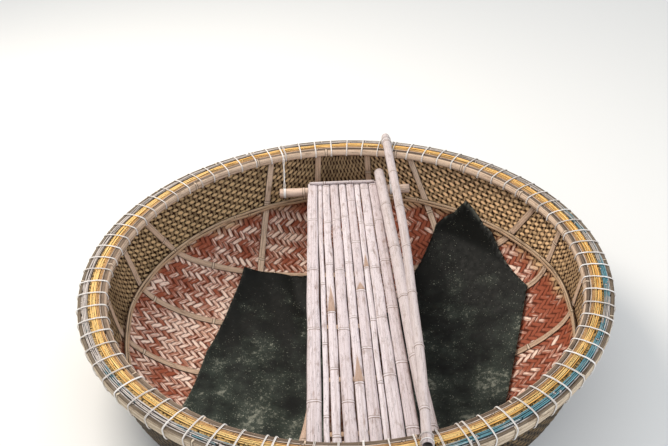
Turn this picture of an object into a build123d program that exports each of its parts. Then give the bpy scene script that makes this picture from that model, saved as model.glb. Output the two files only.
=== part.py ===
from build123d import *
import math
import os

# A round basket boat (coracle): a woven and tarred bowl with bent ribs, a laminated rim bound with
# cord, a slatted bench hung across it and a rail pole laid over the rim.
# Millimetres. X to the right, Y away along the bench, Z up. The origin is the middle of the waterline.

# Bowl
RIM_DIAMETER = 2000       # over the outer band
RIM_HEIGHT = 420          # top of the rim above the waterline
HULL_THICKNESS = 9        # woven splits with their tar
WALL_DEPTH = 254          # from the rim's top to the foot of the straight wall
WALL_LEAN = 10.5          # degrees the wall leans out
TURN_RADIUS = 200         # upper arc of the bilge
TURN_SLOPE = 45           # degrees of slope where the two bilge arcs meet
BILGE_RADIUS = 600        # lower arc of the bilge
FLOOR_SLOPE = 10          # degrees of slope where the bilge meets the floor's arc

# Rim strips: name, thickness, top below the rim's top, height
OUTSIDE_STRIPS = (
    ("rim_splint_4", 7, 0, 42),
    ("rim_splint_3", 5, 1, 42),
    ("rim_splint_2", 5, 3, 42),
    ("rim_splint_1", 5, 5, 42),
    ("rim_outer_band", 16, 9, 55),
)
INSIDE_STRIPS = (
    ("rim_splint_5", 10, 0, 42),
    ("rim_splint_6", 10, 0.5, 42),
    ("rim_splint_7", 10, 2.5, 42),
    ("rim_splint_8", 4, 3, 42),
    ("rim_inner_band", 17, 6, 50),
)
STRIP_GAP = 0.7           # dark joint between two strips
BAND_CROWN = 5            # how far the half-round face of a band stands out
HULL_EDGE_DROP = 8        # the woven edge ends this far below the rim's top

# Cord binding of the rim
LASHING_COUNT = 78
LASHING_PHASE = 3.9       # degrees from +X to the first turn of cord
LASHING_WIDTH = 6
LASHING_THICKNESS = 2.2
CORD_CLEARANCE = 0.4      # between a cord and what it passes over

# Bent ribs, two families crossing at right angles
RIB_WIDTH = 28
RIB_THICKNESS = 7
# Each rib's plane leans: its Y or X at the level of the floor's middle, and at the ribs' tops
CROSS_RIBS = ((-680, -500), (-385, -300), (-60, -10), (265, 248), (610, 415))
LONG_RIBS = ((-400, -310), (-120, -90), (165, 145), (540, 340))

# Inner hoop that pins the ribs
HOOP_DEPTH = 270          # middle of the hoop below the rim's top
HOOP_RISE_RIGHT = 0.025   # the hoop sits askew: its rise to the right, and away along the bench
HOOP_RISE_AWAY = 0.030
HOOP_THICKNESS = 8
HOOP_STRIP_HEIGHT = 12
HOOP_GAP = 1.5

# Bench
BENCH_DEPTH = 120         # top of the slats below the rim's top
SLAT_THICKNESS = 6
SLAT_CROWN = 6            # rise of the widest slat's arch
BENCH_FAR_GAP = 135       # slat ends short of the wall
BENCH_NEAR_GAP = 60
# Slats: left edge and width at the near end, left edge and width at the far end
SLATS = (
    (-151, 50, -134, 45),
    (-94, 18, -86.5, 16),
    (-70, 31, -68, 31),
    (-33, 44, -34.5, 38),
    (15, 34, 6, 28),
    (52, 36, 36.5, 33),
    (91, 20, 72, 24),
    (114, 46, 98.5, 38),
    (163, 37, 139, 34),
)
BEARER_DIAMETER = 42
BEARER_FAR_INSET = 30     # bearer centre in from the slats' far ends
BEARER_NEAR_INSET = 80
BEARER_FIRST_JOINT = 113
BEARER_LEFT = -275
BEARER_RIGHT = 333
SIDE_POLE_DIAMETER = 42
SIDE_POLE_FAR_X = 190
SIDE_POLE_NEAR_X = 262
SIDE_POLE_OVERHANG = 50   # past the slats' far ends
SIDE_POLE_FIRST_JOINT = 150
LOW_POLE_DIAMETER = 38    # crooked pole under the left bearer ends
LOW_POLE_X = (-190, -130, -100)      # near end, bend, far end
LOW_POLE_BEND = 260       # distance of the bend from the near end
LOW_POLE_FIRST_JOINT = 130
STICK_DIAMETER = 12       # thin stick across each end of the slats
STICK_INSET = 16
STICK_SHORT = 4           # the stick stops this far short of the last slat's edge

# Hangers: lashing steps from the first turn of cord to each hanger, which passes between two turns
FAR_HANGER_STEPS = (14.6, 22.2)
NEAR_HANGER_STEPS = (-15.75, -23.6)
HANGER_DIAMETER = 7
HANGER_COLLAR = 5         # thickness of the turns round a bearer
HANGER_COLLAR_WIDTH = 14

# Rail pole laid across the rim
RAIL_DIAMETER = 39
RAIL_FAR_X = 236
RAIL_BEND_X = 230
RAIL_NEAR_X = 208
RAIL_BEND = 430           # distance of the bend from the near end
RAIL_FAR_INSET = 8        # far end in from the rim's outside
RAIL_NEAR_INSET = 28
RAIL_BORE = 22            # diameter of the hollow at the near end
RAIL_BORE_DEPTH = 130
RAIL_TIE_WIDTH = 5
RAIL_TIE_THICKNESS = 2.5
RAIL_TIE_SPREAD = 24      # between the two ties of one end

# Bamboo joints: raised rings round a pole
JOINT_PITCH = 285
JOINT_END = 120           # no joint nearer to a pole's far end than this
JOINT_RISE = 1.8
JOINT_WIDTH = 9

# Rubber mats on the floor: corners in plan
MAT_THICKNESS = 4
LEFT_MAT = ((-455, 572), (-95, 562), (-95, -560), (-560, -500), (-645, -320), (-587, 60))
RIGHT_MAT = ((690, 541), (588, 679), (459, 716), (150, 250), (150, -420), (560, -440), (796, 248))
RIGHT_MAT_RISE = 60       # how far the right mat reaches above the hoop
MAT_CLEARANCE = 1         # between the right mat and the hoop

# Derived places on the bowl's section
LEAN = math.radians(WALL_LEAN)
OUTSIDE_WIDTH = sum(row[1] + STRIP_GAP for row in OUTSIDE_STRIPS)
INSIDE_WIDTH = sum(row[1] + STRIP_GAP for row in INSIDE_STRIPS)
BAND_MIDDLE_DROP = OUTSIDE_STRIPS[-1][2] + OUTSIDE_STRIPS[-1][3] / 2
RIM_RUN = (HULL_THICKNESS + OUTSIDE_WIDTH) / math.cos(LEAN)
MOUTH_RADIUS = RIM_DIAMETER / 2 - RIM_RUN + BAND_MIDDLE_DROP * math.tan(LEAN)
FOOT_RADIUS = MOUTH_RADIUS - WALL_DEPTH * math.tan(LEAN)
FOOT_Z = RIM_HEIGHT - WALL_DEPTH
WALL_SLOPE = 90 - WALL_LEAN


def on_arc(centre, radius, slope):
    """The point of an arc of the bowl where it rises outwards at this slope."""
    angle = math.radians(slope)
    return (centre[0] + radius * math.sin(angle), centre[1] - radius * math.cos(angle))


def arc_centre(point, radius, slope):
    """The centre of an arc of the bowl that passes the point at this slope."""
    angle = math.radians(slope)
    return (point[0] - radius * math.sin(angle), point[1] + radius * math.cos(angle))


TURN_CENTRE = arc_centre((FOOT_RADIUS, FOOT_Z), TURN_RADIUS, WALL_SLOPE)
BILGE_TOP = on_arc(TURN_CENTRE, TURN_RADIUS, TURN_SLOPE)
BILGE_CENTRE = arc_centre(BILGE_TOP, BILGE_RADIUS, TURN_SLOPE)
FLOOR_EDGE = on_arc(BILGE_CENTRE, BILGE_RADIUS, FLOOR_SLOPE)
FLOOR_RADIUS = FLOOR_EDGE[0] / math.sin(math.radians(FLOOR_SLOPE))
FLOOR_CENTRE = (0, FLOOR_EDGE[1] + FLOOR_RADIUS * math.cos(math.radians(FLOOR_SLOPE)))
FLOOR_Z = FLOOR_CENTRE[1] - FLOOR_RADIUS
INSIDE_LOW_Z = RIM_HEIGHT - max(row[2] + row[3] for row in INSIDE_STRIPS)
RIB_TOP_Z = INSIDE_LOW_Z - 2 * CORD_CLEARANCE - LASHING_THICKNESS
RIB_LAYERS = 2 * RIB_THICKNESS


def wall_radius(z, inset=0):
    """Radius of the straight wall's inner face at a height, or of a face set in from it."""
    return FOOT_RADIUS + (z - FOOT_Z) * math.tan(LEAN) - inset / math.cos(LEAN)


def on_section(r, z):
    return Vector(r, 0, z)


def section_arc(centre, radius, slope_from, slope_to):
    """An arc of the bowl's section between two slopes."""
    slopes = (slope_from, (slope_from + slope_to) / 2, slope_to)
    return ThreePointArc(*[on_section(*on_arc(centre, radius, slope)) for slope in slopes])


def bowl_edges(inset, top_z):
    """The bowl's section at an inset from its inner face, from the middle up to a height."""
    floor = section_arc(FLOOR_CENTRE, FLOOR_RADIUS - inset, 0, FLOOR_SLOPE)
    bilge = section_arc(BILGE_CENTRE, BILGE_RADIUS - inset, FLOOR_SLOPE, TURN_SLOPE)
    turn = section_arc(TURN_CENTRE, TURN_RADIUS - inset, TURN_SLOPE, WALL_SLOPE)
    wall = Line(turn @ 1, on_section(wall_radius(top_z, inset), top_z))
    return [floor, bilge, turn, wall]


def closed_face(inner, outer):
    """A face between two runs of edges that both start at the bowl's middle."""
    bottom = Line(outer[0] @ 0, inner[0] @ 0)
    top = Line(inner[-1] @ 1, outer[-1] @ 1)
    return make_face(inner + outer + [bottom, top])


def bowl_layer(inset_outer, inset_inner, top_z):
    """A layer of the bowl between two insets, turned all the way round."""
    section = closed_face(bowl_edges(inset_inner, top_z), bowl_edges(inset_outer, top_z))
    return revolve(section, Axis.Z, 360)


def wall_ring(inset_outer, inset_inner, top_z, bottom_z, crown=0):
    """A ring that follows the wall, with a half-round face on the side that the crown's sign names."""
    outer_top = on_section(wall_radius(top_z, inset_outer), top_z)
    outer_bottom = on_section(wall_radius(bottom_z, inset_outer), bottom_z)
    inner_top = on_section(wall_radius(top_z, inset_inner), top_z)
    inner_bottom = on_section(wall_radius(bottom_z, inset_inner), bottom_z)
    outward = Vector(math.cos(LEAN), 0, -math.sin(LEAN))
    edges = [Line(outer_bottom, inner_bottom), Line(inner_top, outer_top)]
    if crown > 0:
        bulge = (outer_top + outer_bottom) / 2 + outward * crown
        edges.append(ThreePointArc(outer_top, bulge, outer_bottom))
    else:
        edges.append(Line(outer_top, outer_bottom))
    if crown < 0:
        bulge = (inner_top + inner_bottom) / 2 + outward * crown
        edges.append(ThreePointArc(inner_bottom, bulge, inner_top))
    else:
        edges.append(Line(inner_bottom, inner_top))
    return revolve(make_face(edges), Axis.Z, 360)


def rim_strips():
    """The strips clamped on both sides of the hull's edge, and their places for the cord."""
    pieces = {}
    inset = -HULL_THICKNESS
    for name, thickness, drop, height in OUTSIDE_STRIPS:
        inset -= STRIP_GAP
        is_band = name == "rim_outer_band"
        face = thickness - BAND_CROWN if is_band else thickness
        top = RIM_HEIGHT - drop
        pieces[name] = wall_ring(inset - face, inset, top, top - height, BAND_CROWN if is_band else 0)
        inset -= thickness
    inset = 0
    for name, thickness, drop, height in INSIDE_STRIPS:
        inset += STRIP_GAP
        is_band = name == "rim_inner_band"
        face = thickness - BAND_CROWN if is_band else thickness
        top = RIM_HEIGHT - drop
        pieces[name] = wall_ring(inset, inset + face, top, top - height, -BAND_CROWN if is_band else 0)
        inset += thickness
    return pieces


def cord_over_rim(width):
    """One turn of cord over the rim, from the hull's outer face under the strips to its inner face."""
    _, band, band_drop, band_height = OUTSIDE_STRIPS[-1]
    _, inner_band, inner_drop, inner_height = INSIDE_STRIPS[-1]
    skin = -HULL_THICKNESS
    outside = skin - OUTSIDE_WIDTH
    outside_low = RIM_HEIGHT - band_drop - band_height
    inside_low = RIM_HEIGHT - inner_drop - inner_height
    # Corners of the rim that the cord bears on: inset, height. A band's round face takes two.
    corners = (
        (skin, outside_low),
        (outside + BAND_CROWN, outside_low),
        (outside, outside_low + band_height / 4),
        (outside, outside_low + band_height * 3 / 4),
        (outside + BAND_CROWN, RIM_HEIGHT - band_drop),
        (skin - OUTSIDE_STRIPS[0][1] - OUTSIDE_STRIPS[1][1], RIM_HEIGHT),
        (INSIDE_STRIPS[0][1] + INSIDE_STRIPS[1][1], RIM_HEIGHT),
        (INSIDE_WIDTH - BAND_CROWN, RIM_HEIGHT - inner_drop),
        (INSIDE_WIDTH, inside_low + inner_height * 3 / 4),
        (INSIDE_WIDTH, inside_low + inner_height / 4),
        (INSIDE_WIDTH - BAND_CROWN, inside_low),
        (0, inside_low),
    )
    near = [Vector(wall_radius(z, inset), z) for inset, z in corners]
    inner = cord_side(near, CORD_CLEARANCE)
    outer = cord_side(near, CORD_CLEARANCE + LASHING_THICKNESS)
    loop = [on_section(point.X, point.Y) for point in inner + outer[::-1]]
    section = make_face(Polyline(*loop, close=True))
    return extrude(section, width / 2, dir=(0, 1, 0), both=True)


def cord_side(points, distance):
    """A run of points set out from the rim's outline; its two ends slide along the hull's faces."""
    side = []
    for before, point, after in zip(points, points[1:], points[2:]):
        first = (point - before).normalized()
        second = (after - point).normalized()
        bisector = (first + second).normalized()
        outward = Vector(bisector.Y, -bisector.X)
        side.append(point + outward * (distance / abs(outward.dot(Vector(first.Y, -first.X)))))
    start = Vector(wall_radius(side[0].Y, -HULL_THICKNESS) + CORD_CLEARANCE / 8, side[0].Y)
    end = Vector(wall_radius(side[-1].Y) - CORD_CLEARANCE / 8, side[-1].Y)
    return [start] + side + [end]


def rim_lashings():
    turn = cord_over_rim(LASHING_WIDTH)
    step = 360 / LASHING_COUNT
    return Compound(children=[turn.rotate(Axis.Z, LASHING_PHASE + step * i) for i in range(LASHING_COUNT)])


def rib(layer, floor_offset, top_offset, along_x):
    """A strip cut from a layer of the bowl by a leaning slab."""
    lean = math.degrees(math.atan2(floor_offset - top_offset, RIB_TOP_Z - FLOOR_Z))
    reach = 2 * RIM_DIAMETER
    if along_x:
        slab = Box(reach, RIB_WIDTH, reach).rotate(Axis.X, lean)
        return layer & slab.translate((0, floor_offset, FLOOR_Z))
    slab = Box(RIB_WIDTH, reach, reach).rotate(Axis.Y, -lean)
    return layer & slab.translate((floor_offset, 0, FLOOR_Z))


def hoop_height(x, y):
    """Height of the hoop's middle at a place in plan."""
    return RIM_HEIGHT - HOOP_DEPTH + x * HOOP_RISE_RIGHT + y * HOOP_RISE_AWAY


def hoop_strip(offset):
    """A strip cut from the layer on the ribs by a slab that is askew as the hoop is."""
    layer = bowl_layer(RIB_LAYERS, RIB_LAYERS + HOOP_THICKNESS, RIB_TOP_Z)
    slab = Box(RIM_DIAMETER, RIM_DIAMETER, HOOP_STRIP_HEIGHT)
    slab = slab.rotate(Axis.X, math.degrees(math.atan(HOOP_RISE_AWAY)))
    slab = slab.rotate(Axis.Y, -math.degrees(math.atan(HOOP_RISE_RIGHT)))
    return layer & slab.translate((0, 0, hoop_height(0, 0) + offset))


def hoop_strips():
    offset = (HOOP_GAP + HOOP_STRIP_HEIGHT) / 2
    return {"hoop_upper": hoop_strip(offset), "hoop_lower": hoop_strip(-offset)}


# Places of the bench
SLAT_TOP_Z = RIM_HEIGHT - BENCH_DEPTH
BEARER_TOP_Z = SLAT_TOP_Z - SLAT_THICKNESS - SLAT_CROWN
BEARER_Z = BEARER_TOP_Z - BEARER_DIAMETER / 2
WALL_AT_BENCH = wall_radius(SLAT_TOP_Z)
FAR_Y = WALL_AT_BENCH - BENCH_FAR_GAP
NEAR_Y = -(WALL_AT_BENCH - BENCH_NEAR_GAP)
FAR_BEARER_Y = FAR_Y - BEARER_FAR_INSET
NEAR_BEARER_Y = NEAR_Y + BEARER_NEAR_INSET
WIDEST_SLAT = max(row[1] for row in SLATS)


def slat_section(left, width, y):
    """A split of bamboo seen on end: an arched strip whose two feet stand on the bearers."""
    crown = SLAT_CROWN * width / WIDEST_SLAT
    middle = left + width / 2
    right = left + width
    foot = BEARER_TOP_Z
    lower = ThreePointArc((left, y, foot), (middle, y, foot + crown), (right, y, foot))
    upper = ThreePointArc(
        (right, y, foot + SLAT_THICKNESS),
        (middle, y, foot + crown + SLAT_THICKNESS),
        (left, y, foot + SLAT_THICKNESS),
    )
    sides = [Line(lower @ 1, upper @ 0), Line(upper @ 1, lower @ 0)]
    return make_face([lower, upper] + sides)


def slat(near_left, near_width, far_left, far_width):
    near = slat_section(near_left, near_width, NEAR_Y)
    far = slat_section(far_left, far_width, FAR_Y)
    return loft([near, far], ruled=True)


def joint_rings(path, radius, first):
    """Raised rings round a pole at the bamboo's joints."""
    rings = []
    distance = first
    while distance < path.length - JOINT_END:
        place = path.location_at(distance / path.length)
        rings.append(place * Cylinder(radius + JOINT_RISE, JOINT_WIDTH))
        distance += JOINT_PITCH
    return rings


def pole(points, diameter, first_joint, bend_radius=0):
    """A round pole through two points, or through three with a gentle bend."""
    if len(points) == 2:
        path = Line(*points)
    else:
        path = FilletPolyline(*points, radius=bend_radius)
    start = Plane(origin=path @ 0, z_dir=path % 0)
    body = sweep(start * Circle(diameter / 2), path=path)
    for ring in joint_rings(path, diameter / 2, first_joint):
        body += ring
    return body


def bend_radius(near, bend, far):
    """The radius that lets a bend take most of the shorter run beside it."""
    shorter = min((bend - near).length, (far - bend).length)
    turn = math.radians((bend - near).get_angle(far - bend))
    return 0.45 * shorter / math.tan(turn / 2)


def bearer(y):
    ends = (Vector(BEARER_LEFT, y, BEARER_Z), Vector(BEARER_RIGHT, y, BEARER_Z))
    return pole(ends, BEARER_DIAMETER, BEARER_FIRST_JOINT)


def side_pole():
    z = BEARER_TOP_Z + SIDE_POLE_DIAMETER / 2
    near = Vector(SIDE_POLE_NEAR_X, NEAR_Y, z)
    far = Vector(SIDE_POLE_FAR_X, FAR_Y + SIDE_POLE_OVERHANG, z)
    return pole((near, far), SIDE_POLE_DIAMETER, SIDE_POLE_FIRST_JOINT)


def low_pole():
    z = BEARER_Z - BEARER_DIAMETER / 2 - LOW_POLE_DIAMETER / 2
    near_x, bend_x, far_x = LOW_POLE_X
    near_y = NEAR_Y + STICK_INSET
    near = Vector(near_x, near_y, z)
    bend = Vector(bend_x, near_y + LOW_POLE_BEND, z)
    far = Vector(far_x, FAR_Y, z)
    radius = bend_radius(near, bend, far)
    return pole((near, bend, far), LOW_POLE_DIAMETER, LOW_POLE_FIRST_JOINT, radius)


def end_stick(y, right):
    left = SLATS[0][2]
    middle = Vector((left + right) / 2, y, SLAT_TOP_Z + STICK_DIAMETER / 2)
    return Cylinder(STICK_DIAMETER / 2, right - left, rotation=(0, 90, 0)).translate(middle)


def hangers():
    """Four taut cords: a turn over the rim, the fall, and the turns round a bearer's end."""
    step = 360 / LASHING_COUNT
    _, _, inner_drop, inner_height = INSIDE_STRIPS[-1]
    low = RIM_HEIGHT - inner_drop - inner_height / 2
    start_radius = wall_radius(low, INSIDE_WIDTH + HANGER_DIAMETER / 2 + 3 * CORD_CLEARANCE)
    cords = []
    for bearer_y, hanger_steps in ((FAR_BEARER_Y, FAR_HANGER_STEPS), (NEAR_BEARER_Y, NEAR_HANGER_STEPS)):
        for steps in hanger_steps:
            angle = LASHING_PHASE + steps * step
            top = Vector(start_radius, 0, low).rotate(Axis.Z, angle)
            foot = Vector(top.X, bearer_y, BEARER_Z)
            fall = Line(top, foot)
            cord = sweep(Plane(origin=fall @ 0, z_dir=fall % 0) * Circle(HANGER_DIAMETER / 2), path=fall)
            turn = Cylinder(BEARER_DIAMETER / 2 + HANGER_COLLAR, HANGER_COLLAR_WIDTH, rotation=(0, 90, 0))
            cord += turn.translate(foot)
            cord += cord_over_rim(HANGER_DIAMETER).rotate(Axis.Z, angle)
            cord -= Cylinder(BEARER_DIAMETER / 2, 2 * HANGER_COLLAR_WIDTH, rotation=(0, 90, 0)).translate(foot)
            cords.append(cord)
    return Compound(children=cords)


# Places of the rail pole
RAIL_Z = RIM_HEIGHT + RAIL_DIAMETER / 2
RAIL_NEAR_REACH = RIM_DIAMETER / 2 - RAIL_NEAR_INSET
RAIL_FAR_REACH = RIM_DIAMETER / 2 - RAIL_FAR_INSET


def on_circle(radius, x):
    return math.sqrt(radius * radius - x * x)


RAIL_NEAR = Vector(RAIL_NEAR_X, -on_circle(RAIL_NEAR_REACH, RAIL_NEAR_X), RAIL_Z)
RAIL_FAR = Vector(RAIL_FAR_X, on_circle(RAIL_FAR_REACH, RAIL_FAR_X), RAIL_Z)
RAIL_KNEE = Vector(RAIL_BEND_X, RAIL_NEAR.Y + RAIL_BEND, RAIL_Z)


def rail_pole():
    points = (RAIL_NEAR, RAIL_KNEE, RAIL_FAR)
    body = pole(points, RAIL_DIAMETER, RAIL_BORE_DEPTH + JOINT_WIDTH, bend_radius(*points))
    inward = (RAIL_KNEE - RAIL_NEAR).normalized()
    mouth = Plane(origin=RAIL_NEAR, z_dir=inward)
    return body - extrude(mouth * Circle(RAIL_BORE / 2), RAIL_BORE_DEPTH)


def rail_tie(place_y, start, end):
    """A turn of cord over the rail, down to the rim on both sides."""
    along = (end - start).normalized()
    centre = start + along * ((place_y - start.Y) / along.Y)
    inner = RAIL_DIAMETER / 2 + CORD_CLEARANCE
    outer = inner + RAIL_TIE_THICKNESS
    drop = RAIL_DIAMETER / 2
    arch = Circle(outer) + Pos(0, -drop / 2) * Rectangle(2 * outer, drop)
    arch -= Circle(inner) + Pos(0, -drop / 2) * Rectangle(2 * inner, drop)
    arch -= Pos(0, -drop - outer) * Rectangle(4 * outer, 2 * outer)
    across = along.cross(Vector(0, 0, 1))
    plane = Plane(origin=centre, x_dir=across, z_dir=along)
    if plane.y_dir.Z < 0:
        plane = Plane(origin=centre, x_dir=across * -1, z_dir=along)
    return extrude(plane * arch, RAIL_TIE_WIDTH / 2, both=True)


def rail_ties():
    rim_middle = RIM_DIAMETER / 2 - (OUTSIDE_WIDTH + HULL_THICKNESS + INSIDE_WIDTH) / 2
    ties = []
    for offset in (-RAIL_TIE_SPREAD / 2, RAIL_TIE_SPREAD / 2):
        near_y = -on_circle(rim_middle, RAIL_NEAR_X) + offset
        far_y = on_circle(rim_middle, RAIL_FAR_X) + offset
        ties.append(rail_tie(near_y, RAIL_NEAR, RAIL_KNEE))
        ties.append(rail_tie(far_y, RAIL_KNEE, RAIL_FAR))
    return Compound(children=ties)


def plan_prism(corners):
    outline = make_face(Polyline(*[Vector(x, y, FLOOR_Z) for x, y in corners], close=True))
    return extrude(outline, RIM_HEIGHT - FLOOR_Z, dir=(0, 0, 1))


def floor_mat(corners):
    """A mat that lies on the ribs below the hoop."""
    layer = bowl_layer(RIB_LAYERS, RIB_LAYERS + MAT_THICKNESS, hoop_height(0, 0))
    return layer & plan_prism(corners)


def draped_mat(corners, rise):
    """A mat that lies on the ribs and leans up over the hoop."""
    over = RIB_LAYERS + HOOP_THICKNESS + MAT_CLEARANCE
    # The far corners and the right corner lie by the hoop
    heights = [hoop_height(*corner) for corner in (corners[1], corners[2], corners[-1])]
    hoop_low = min(heights) - HOOP_STRIP_HEIGHT - HOOP_GAP
    top_z = max(heights) + HOOP_STRIP_HEIGHT + rise
    runs = []
    for inset in (0, MAT_THICKNESS):
        floor = section_arc(FLOOR_CENTRE, FLOOR_RADIUS - RIB_LAYERS - inset, 0, FLOOR_SLOPE)
        bilge = section_arc(BILGE_CENTRE, BILGE_RADIUS - RIB_LAYERS - inset, FLOOR_SLOPE, TURN_SLOPE)
        low = on_section(wall_radius(hoop_low, over + inset), hoop_low)
        high = on_section(wall_radius(top_z, over + inset), top_z)
        runs.append([floor, bilge, Line(bilge @ 1, low), Line(low, high)])
    layer = revolve(closed_face(runs[1], runs[0]), Axis.Z, 360)
    return layer & plan_prism(corners)


def build():
    pieces = {}
    pieces["hull_basket"] = bowl_layer(-HULL_THICKNESS, 0, RIM_HEIGHT - HULL_EDGE_DROP)
    pieces.update(rim_strips())
    pieces["rim_lashings"] = rim_lashings()
    cross_layer = bowl_layer(0, RIB_THICKNESS, RIB_TOP_Z)
    for number, offsets in enumerate(CROSS_RIBS, 1):
        pieces[f"rib_cross_{number}"] = rib(cross_layer, *offsets, True)
    long_layer = bowl_layer(RIB_THICKNESS, RIB_LAYERS, RIB_TOP_Z)
    for number, offsets in enumerate(LONG_RIBS, 1):
        pieces[f"rib_long_{number}"] = rib(long_layer, *offsets, False)
    pieces.update(hoop_strips())
    for number, row in enumerate(SLATS, 1):
        pieces[f"bench_slat_{number}"] = slat(*row)
    pieces["bench_bearer_far"] = bearer(FAR_BEARER_Y)
    pieces["bench_bearer_near"] = bearer(NEAR_BEARER_Y)
    pieces["bench_side_pole"] = side_pole()
    pieces["bench_low_pole"] = low_pole()
    far_right = SLATS[-1][2] + SLATS[-1][3] - STICK_SHORT
    near_right = SLATS[-1][0] + SLATS[-1][1] - STICK_SHORT
    pieces["bench_stick_far"] = end_stick(FAR_Y - STICK_INSET, far_right)
    pieces["bench_stick_near"] = end_stick(NEAR_Y + STICK_INSET, near_right)
    pieces["bench_hangers"] = hangers()
    pieces["rail_pole"] = rail_pole()
    pieces["rail_ties"] = rail_ties()
    pieces["floor_mat_left"] = floor_mat(LEFT_MAT)
    pieces["floor_mat_right"] = draped_mat(RIGHT_MAT, RIGHT_MAT_RISE)
    return pieces


os.makedirs("parts", exist_ok=True)
for node, shape in build().items():
    export_step(shape, f"parts/{node}.step")
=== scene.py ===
import bmesh
import bpy
import math
import numpy as np
from mathutils import Matrix, Vector


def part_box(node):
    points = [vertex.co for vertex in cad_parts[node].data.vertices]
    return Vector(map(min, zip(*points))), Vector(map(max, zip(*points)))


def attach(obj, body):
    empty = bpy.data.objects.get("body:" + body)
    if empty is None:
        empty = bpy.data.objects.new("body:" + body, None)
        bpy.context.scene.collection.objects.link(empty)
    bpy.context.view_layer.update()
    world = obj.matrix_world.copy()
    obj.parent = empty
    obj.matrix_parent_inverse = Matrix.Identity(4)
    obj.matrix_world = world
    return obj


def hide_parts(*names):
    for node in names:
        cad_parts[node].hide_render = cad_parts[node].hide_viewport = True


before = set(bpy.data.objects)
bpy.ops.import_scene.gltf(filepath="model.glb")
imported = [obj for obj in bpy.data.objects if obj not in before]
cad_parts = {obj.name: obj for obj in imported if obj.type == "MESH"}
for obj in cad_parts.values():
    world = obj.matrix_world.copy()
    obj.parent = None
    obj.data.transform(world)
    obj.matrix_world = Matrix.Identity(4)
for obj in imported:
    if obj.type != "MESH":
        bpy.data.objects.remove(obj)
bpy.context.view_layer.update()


# Hull. A bowl of split bamboo, woven flat at 45 degrees to the bench, hammered into shape and tarred: a
# two-over-two twill on the floor and a plain weave on the wall. The section is the solid's, a dished
# floor, two arcs of the bilge and a leaning wall. Splits are laid over the dark tarred solid.
RIM_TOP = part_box("rim_splint_4")[1].z
HULL_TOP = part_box("hull_basket")[1].z
HULL_THICKNESS = 0.009
WALL_DEPTH = 0.254
TURN_RADIUS = 0.200
BILGE_RADIUS = 0.600
FLOOR_SLOPE, TURN_SLOPE, WALL_SLOPE = (math.radians(a) for a in (10, 45, 79.5))
WALL_TOP_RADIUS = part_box("hull_basket")[1].x - HULL_THICKNESS / math.sin(WALL_SLOPE)
WALL_HEIGHT = HULL_TOP - (RIM_TOP - WALL_DEPTH)
FOOT_RADIUS = WALL_TOP_RADIUS - WALL_HEIGHT / math.tan(WALL_SLOPE)
TURN_RUN = TURN_RADIUS * (math.sin(WALL_SLOPE) - math.sin(TURN_SLOPE))
BILGE_RUN = BILGE_RADIUS * (math.sin(TURN_SLOPE) - math.sin(FLOOR_SLOPE))
FLOOR_RADIUS = (FOOT_RADIUS - TURN_RUN - BILGE_RUN) / math.sin(FLOOR_SLOPE)
SECTION_SLOPES = (0, FLOOR_SLOPE, TURN_SLOPE, WALL_SLOPE, WALL_SLOPE)
SECTION_LENGTHS = (
    0,
    FLOOR_RADIUS * FLOOR_SLOPE,
    BILGE_RADIUS * (TURN_SLOPE - FLOOR_SLOPE),
    TURN_RADIUS * (WALL_SLOPE - TURN_SLOPE),
    WALL_HEIGHT / math.sin(WALL_SLOPE),
)
BOWL_REACH = sum(SECTION_LENGTHS)
# The section in 2400 steps, carried on past its edge in the same slope
ARC = np.linspace(0, BOWL_REACH + 0.15, 2401)
ARC_SLOPE = np.interp(ARC, np.cumsum(SECTION_LENGTHS), SECTION_SLOPES)
ARC_RADIUS = np.append(0, np.cumsum(np.cos((ARC_SLOPE[1:] + ARC_SLOPE[:-1]) / 2))) * ARC[1]
ARC_HEIGHT = np.append(0, np.cumsum(np.sin((ARC_SLOPE[1:] + ARC_SLOPE[:-1]) / 2))) * ARC[1]
ARC_HEIGHT += HULL_TOP - np.interp(BOWL_REACH, ARC, ARC_HEIGHT)
FLOOR_HEIGHT = ARC_HEIGHT[0]


def on_bowl(reach, angle, lift=0.0):
    """Points at a distance from the bowl's middle along its inner face, lifted off it towards the inside."""
    slope = np.interp(reach, ARC, ARC_SLOPE)
    radius = np.interp(reach, ARC, ARC_RADIUS) - lift * np.sin(slope)
    height = np.interp(reach, ARC, ARC_HEIGHT) + lift * np.cos(slope)
    return np.stack([radius * np.cos(angle), radius * np.sin(angle), height], axis=-1)


def linear(code):
    """An sRGB hex colour as linear light."""
    parts = [int(code[i : i + 2], 16) / 255 for i in (1, 3, 5)]
    return [c / 12.92 if c <= 0.04045 else ((c + 0.055) / 1.055) ** 2.4 for c in parts] + [1.0]


def add(tree, kind, inputs, out=0, **settings):
    """Adds a shader node with its settings and its inputs, set or linked, and gives one of its outputs."""
    made = tree.nodes.new("ShaderNode" + kind)
    for name, value in settings.items():
        setattr(made, name, value)
    for socket, value in inputs.items():
        if isinstance(value, bpy.types.NodeSocket):
            tree.links.new(value, made.inputs[socket])
        else:
            made.inputs[socket].default_value = linear(value) if isinstance(value, str) else value
    return made.outputs[out]


def new_material(name):
    material = bpy.data.materials.new(name)
    material.use_nodes = True
    return material, material.node_tree, material.node_tree.nodes["Principled BSDF"]


def marks(tree, *names):
    """The marks that a piece's points carry, such as the distance along a split."""
    return [add(tree, "Attribute", {}, "Fac", attribute_name=name) for name in names]


def grains(tree, place, sizes_mm, detail=2.0, roughness=0.5):
    """Noise in grains of these sizes along the three axes of a place in metres."""
    counts = [1000 / size for size in sizes_mm]
    place = add(tree, "VectorMath", {0: place, 1: counts}, operation="MULTIPLY")
    return add(tree, "TexNoise", {"Vector": place, "Scale": 1.0, "Detail": detail, "Roughness": roughness})


def total(tree, *terms):
    """The sum of outputs, each times its factor."""
    value = 0.0
    for output, factor in terms:
        value = add(tree, "Math", {0: output, 1: factor, 2: value}, operation="MULTIPLY_ADD")
    return value


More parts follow.
